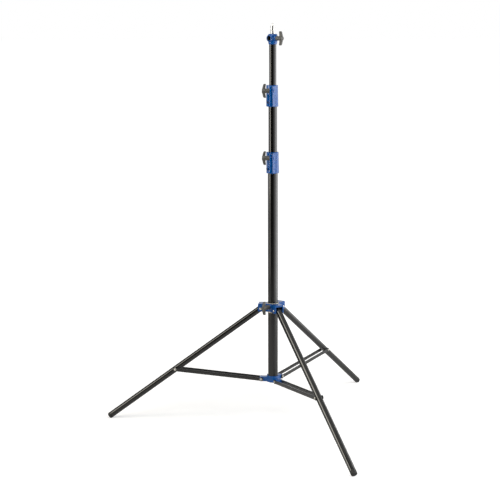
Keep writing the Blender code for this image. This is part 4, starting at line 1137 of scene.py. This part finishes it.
def spigot():
    """The bright stud: turned waist, flange, and a cut thread of 1.27 mm pitch on its top."""
    ledge = GAP + 0.0040
    shoulder = GAP + 0.0275
    top = shoulder + 0.0080
    corners = [
        (0.0, top, 0.0), (0.0031, top, 0.0006), (0.0031, shoulder, 0.0), (SPIGOT_R, shoulder, 0.0008),
        (SPIGOT_R, 0.0200, 0.0003), (SPIGOT_WAIST_R, 0.0190, 0.0003), (SPIGOT_WAIST_R, 0.0115, 0.0003),
        (SPIGOT_R, 0.0105, 0.0003), (SPIGOT_R, ledge, 0.0), (SPIGOT_FLANGE_R, ledge, 0.0004),
        (SPIGOT_FLANGE_R, GAP, 0.0002), (SPIGOT_R, GAP, 0.0), (SPIGOT_R, SPIGOT_FOOT, 0.0008),
        (0.0, SPIGOT_FOOT, 0.0),
    ]
    rows = dense(rounded(corners), shoulder + 0.0001, top, 0.00016)
    mesh = turned(rows, 96, thread=(shoulder, top + 0.001, 0.00127, 0.00065))
    finished("turned_spigot", mesh, at(HEAD_Z + HEAD_HEIGHT), CHROME, "spigot_stud")


def inner_pieces():
    """The guides and the plug that the tubes hide keep their own meshes."""
    pale = hidden_finish("hidden_nylon", (0.74, 0.69, 0.55), (0.60, 0.55, 0.42))
    black = hidden_finish("hidden_black", (0.015, 0.015, 0.014), (0.030, 0.030, 0.028))
    for name, look in (("middle_tube_guide", pale), ("top_tube_guide", pale), ("base_tube_plug", black)):
        data = NODES[name].data
        data.materials.clear()
        data.materials.append(look.material)


tubes()
legs()
struts()
lower_hub()
leg_collar()
lock_collar("lower_lock", BASE_TUBE_R, MIDDLE_TUBE_R, LOWER_LOCK_Z, "base")
lock_collar("upper_lock", MIDDLE_TUBE_R, TOP_TUBE_R, UPPER_LOCK_Z, "middle")
head()
spigot()
inner_pieces()


# Studio: each lamp's name, its azimuth from the camera's side, right positive, its distance from the
# column, its lower and upper edge, its width, its brightness and its colour

CAMERA_AZIMUTH = 4.324
WARM = (1.0, 0.96, 0.86)
WHITE = (1.0, 1.0, 1.0)
PANEL = (1.80, 0.02, 2.10, 0.86)
LAMPS = (
    ("left_strip", -71.0, 2.20, 0.50, 3.60, 0.75, 6.0, WARM),
    ("left_strip_foot", -71.0, 2.20, 0.05, 0.50, 0.75, 2.5, WARM),
    ("high_front_panel", -10.0, 2.40, 2.30, 3.90, 2.40, 4.4, WHITE),
    ("front_right_panel", 35.0, *PANEL, 0.75, WHITE),
    ("right_front_panel", 62.5, *PANEL, 1.6, WHITE),
    ("right_panel", 90.0, *PANEL, 3.9, WHITE),
    ("back_right_panel", 117.5, *PANEL, 1.4, WHITE),
)
OVERHEAD_Z = 2.60
OVERHEAD_SIZE = 2.80
OVERHEAD_LIGHT = 0.6
ROOM_LIGHT = 0.03
FLOOR_PALE = 0.75


def background_share(net, place, near, far):
    """How much of the white background a ray is given: all of it if it comes from the camera, and if
    it is mirrored or passed through, as much as its place or direction lies behind the stand."""
    ray = net.node("LightPath").outputs
    angle = math.radians(CAMERA_AZIMUTH)
    back = (-math.sin(angle), math.cos(angle), 0.0)
    depth = net.node("VectorMath", ((0, place), (1, back)), operation="DOT_PRODUCT")
    mirrored = net.maths("MAXIMUM", ray["Is Glossy Ray"], ray["Is Transmission Ray"])
    mirrored = net.times(mirrored, net.spread(depth.outputs["Value"], near, far))
    return net.maths("MAXIMUM", ray["Is Camera Ray"], mirrored)


def studio_floor():
    """A white floor, so wide that its edge is far off. The lamps light it white round the stand, and
    further off the camera sees it as white as there, by a glow that grows with the distance."""
    size = 60.0
    corners = [(-size, -size, 0.0), (size, -size, 0.0), (size, size, 0.0), (-size, size, 0.0)]
    mesh = bpy.data.meshes.new("floor")
    mesh.from_pydata(corners, [], [(0, 1, 2, 3)])
    pale = Finish("pale_floor", own=False)
    away = pale.node("VectorMath", ((0, pale.place),), operation="LENGTH").outputs["Value"]
    share = background_share(pale, pale.place, 1.5, 4.0)
    pale.set(
        Base_Color=(FLOOR_PALE, FLOOR_PALE, FLOOR_PALE),
        Roughness=1.0,
        Specular_IOR_Level=0.0,
        Emission_Color=WHITE,
        Emission_Strength=pale.times(share, pale.spread(away, 0.3, 2.2, 0.45, 1.00)),
    )
    mesh.materials.append(pale.material)
    linked("floor", mesh)


def studio_world():
    """A dark room with a white background. Metal mirrors that white only from behind the stand, where
    the photograph has it, because the camera's side of the room is dark."""
    world = bpy.data.worlds.new("studio")
    bpy.context.scene.world = world
    world.use_nodes = True
    net = Net(world.node_tree)
    way = net.node("TexCoord").outputs["Generated"]
    share = background_share(net, way, 0.75, 1.0)
    seen = net.node("Mix", ((0, share), (2, ROOM_LIGHT), (3, 1.0))).outputs[0]
    back = net.tree.nodes["Background"].inputs
    net.feed(back["Strength"], seen)
    net.feed(back["Color"], WHITE)


def soft_lamp(name, width, height, brightness, colour):
    """An area lamp of a given radiance. The camera doesn't see it."""
    data = bpy.data.lights.new(name, "AREA")
    data.shape = "RECTANGLE"
    data.size = width
    data.size_y = height
    data.energy = brightness * width * height * math.pi
    data.color = colour
    lamp = linked(name, data)
    lamp.visible_camera = False
    return lamp


def studio_lamps():
    """The upright lamps, which face the column, and the one over it, which faces down."""
    for name, azimuth, distance, low, high, width, brightness, colour in LAMPS:
        lamp = soft_lamp(name, width, high - low, brightness, colour)
        angle = math.radians(CAMERA_AZIMUTH + azimuth)
        away = Vector((math.sin(angle), -math.cos(angle), 0.0)) * distance
        lamp.location = (COLUMN_X + away.x, away.y, (low + high) / 2.0)
        lamp.rotation_euler = (-away).to_track_quat("-Z", "Y").to_euler()
    lamp = soft_lamp("overhead", OVERHEAD_SIZE, OVERHEAD_SIZE, OVERHEAD_LIGHT, WHITE)
    lamp.location = (COLUMN_X, 0.0, OVERHEAD_Z)


def camera():
    """The camera that the photograph fits: 4.31 m from the column, 1.46 m up, looking a little down."""
    azimuth = math.radians(CAMERA_AZIMUTH)
    turn = azimuth + math.radians(1.069)
    tip = math.radians(90.0 - 10.850)
    roll = math.radians(-0.243)
    distance = 4.3145
    data = bpy.data.cameras.new("camera")
    data.sensor_width = 36.0
    data.lens = 1246.97 / 500.0 * data.sensor_width
    made = linked("camera", data)
    spot = (COLUMN_X + math.sin(azimuth) * distance, -math.cos(azimuth) * distance, 1.460)
    place = Matrix.Translation(spot)
    for angle, axis in ((turn, "Z"), (tip, "X"), (roll, "Z")):
        place @= Matrix.Rotation(angle, 4, axis)
    made.matrix_world = place
    bpy.context.scene.camera = made


studio_floor()
studio_world()
studio_lamps()
camera()
bpy.context.scene.view_settings.view_transform = "Standard"
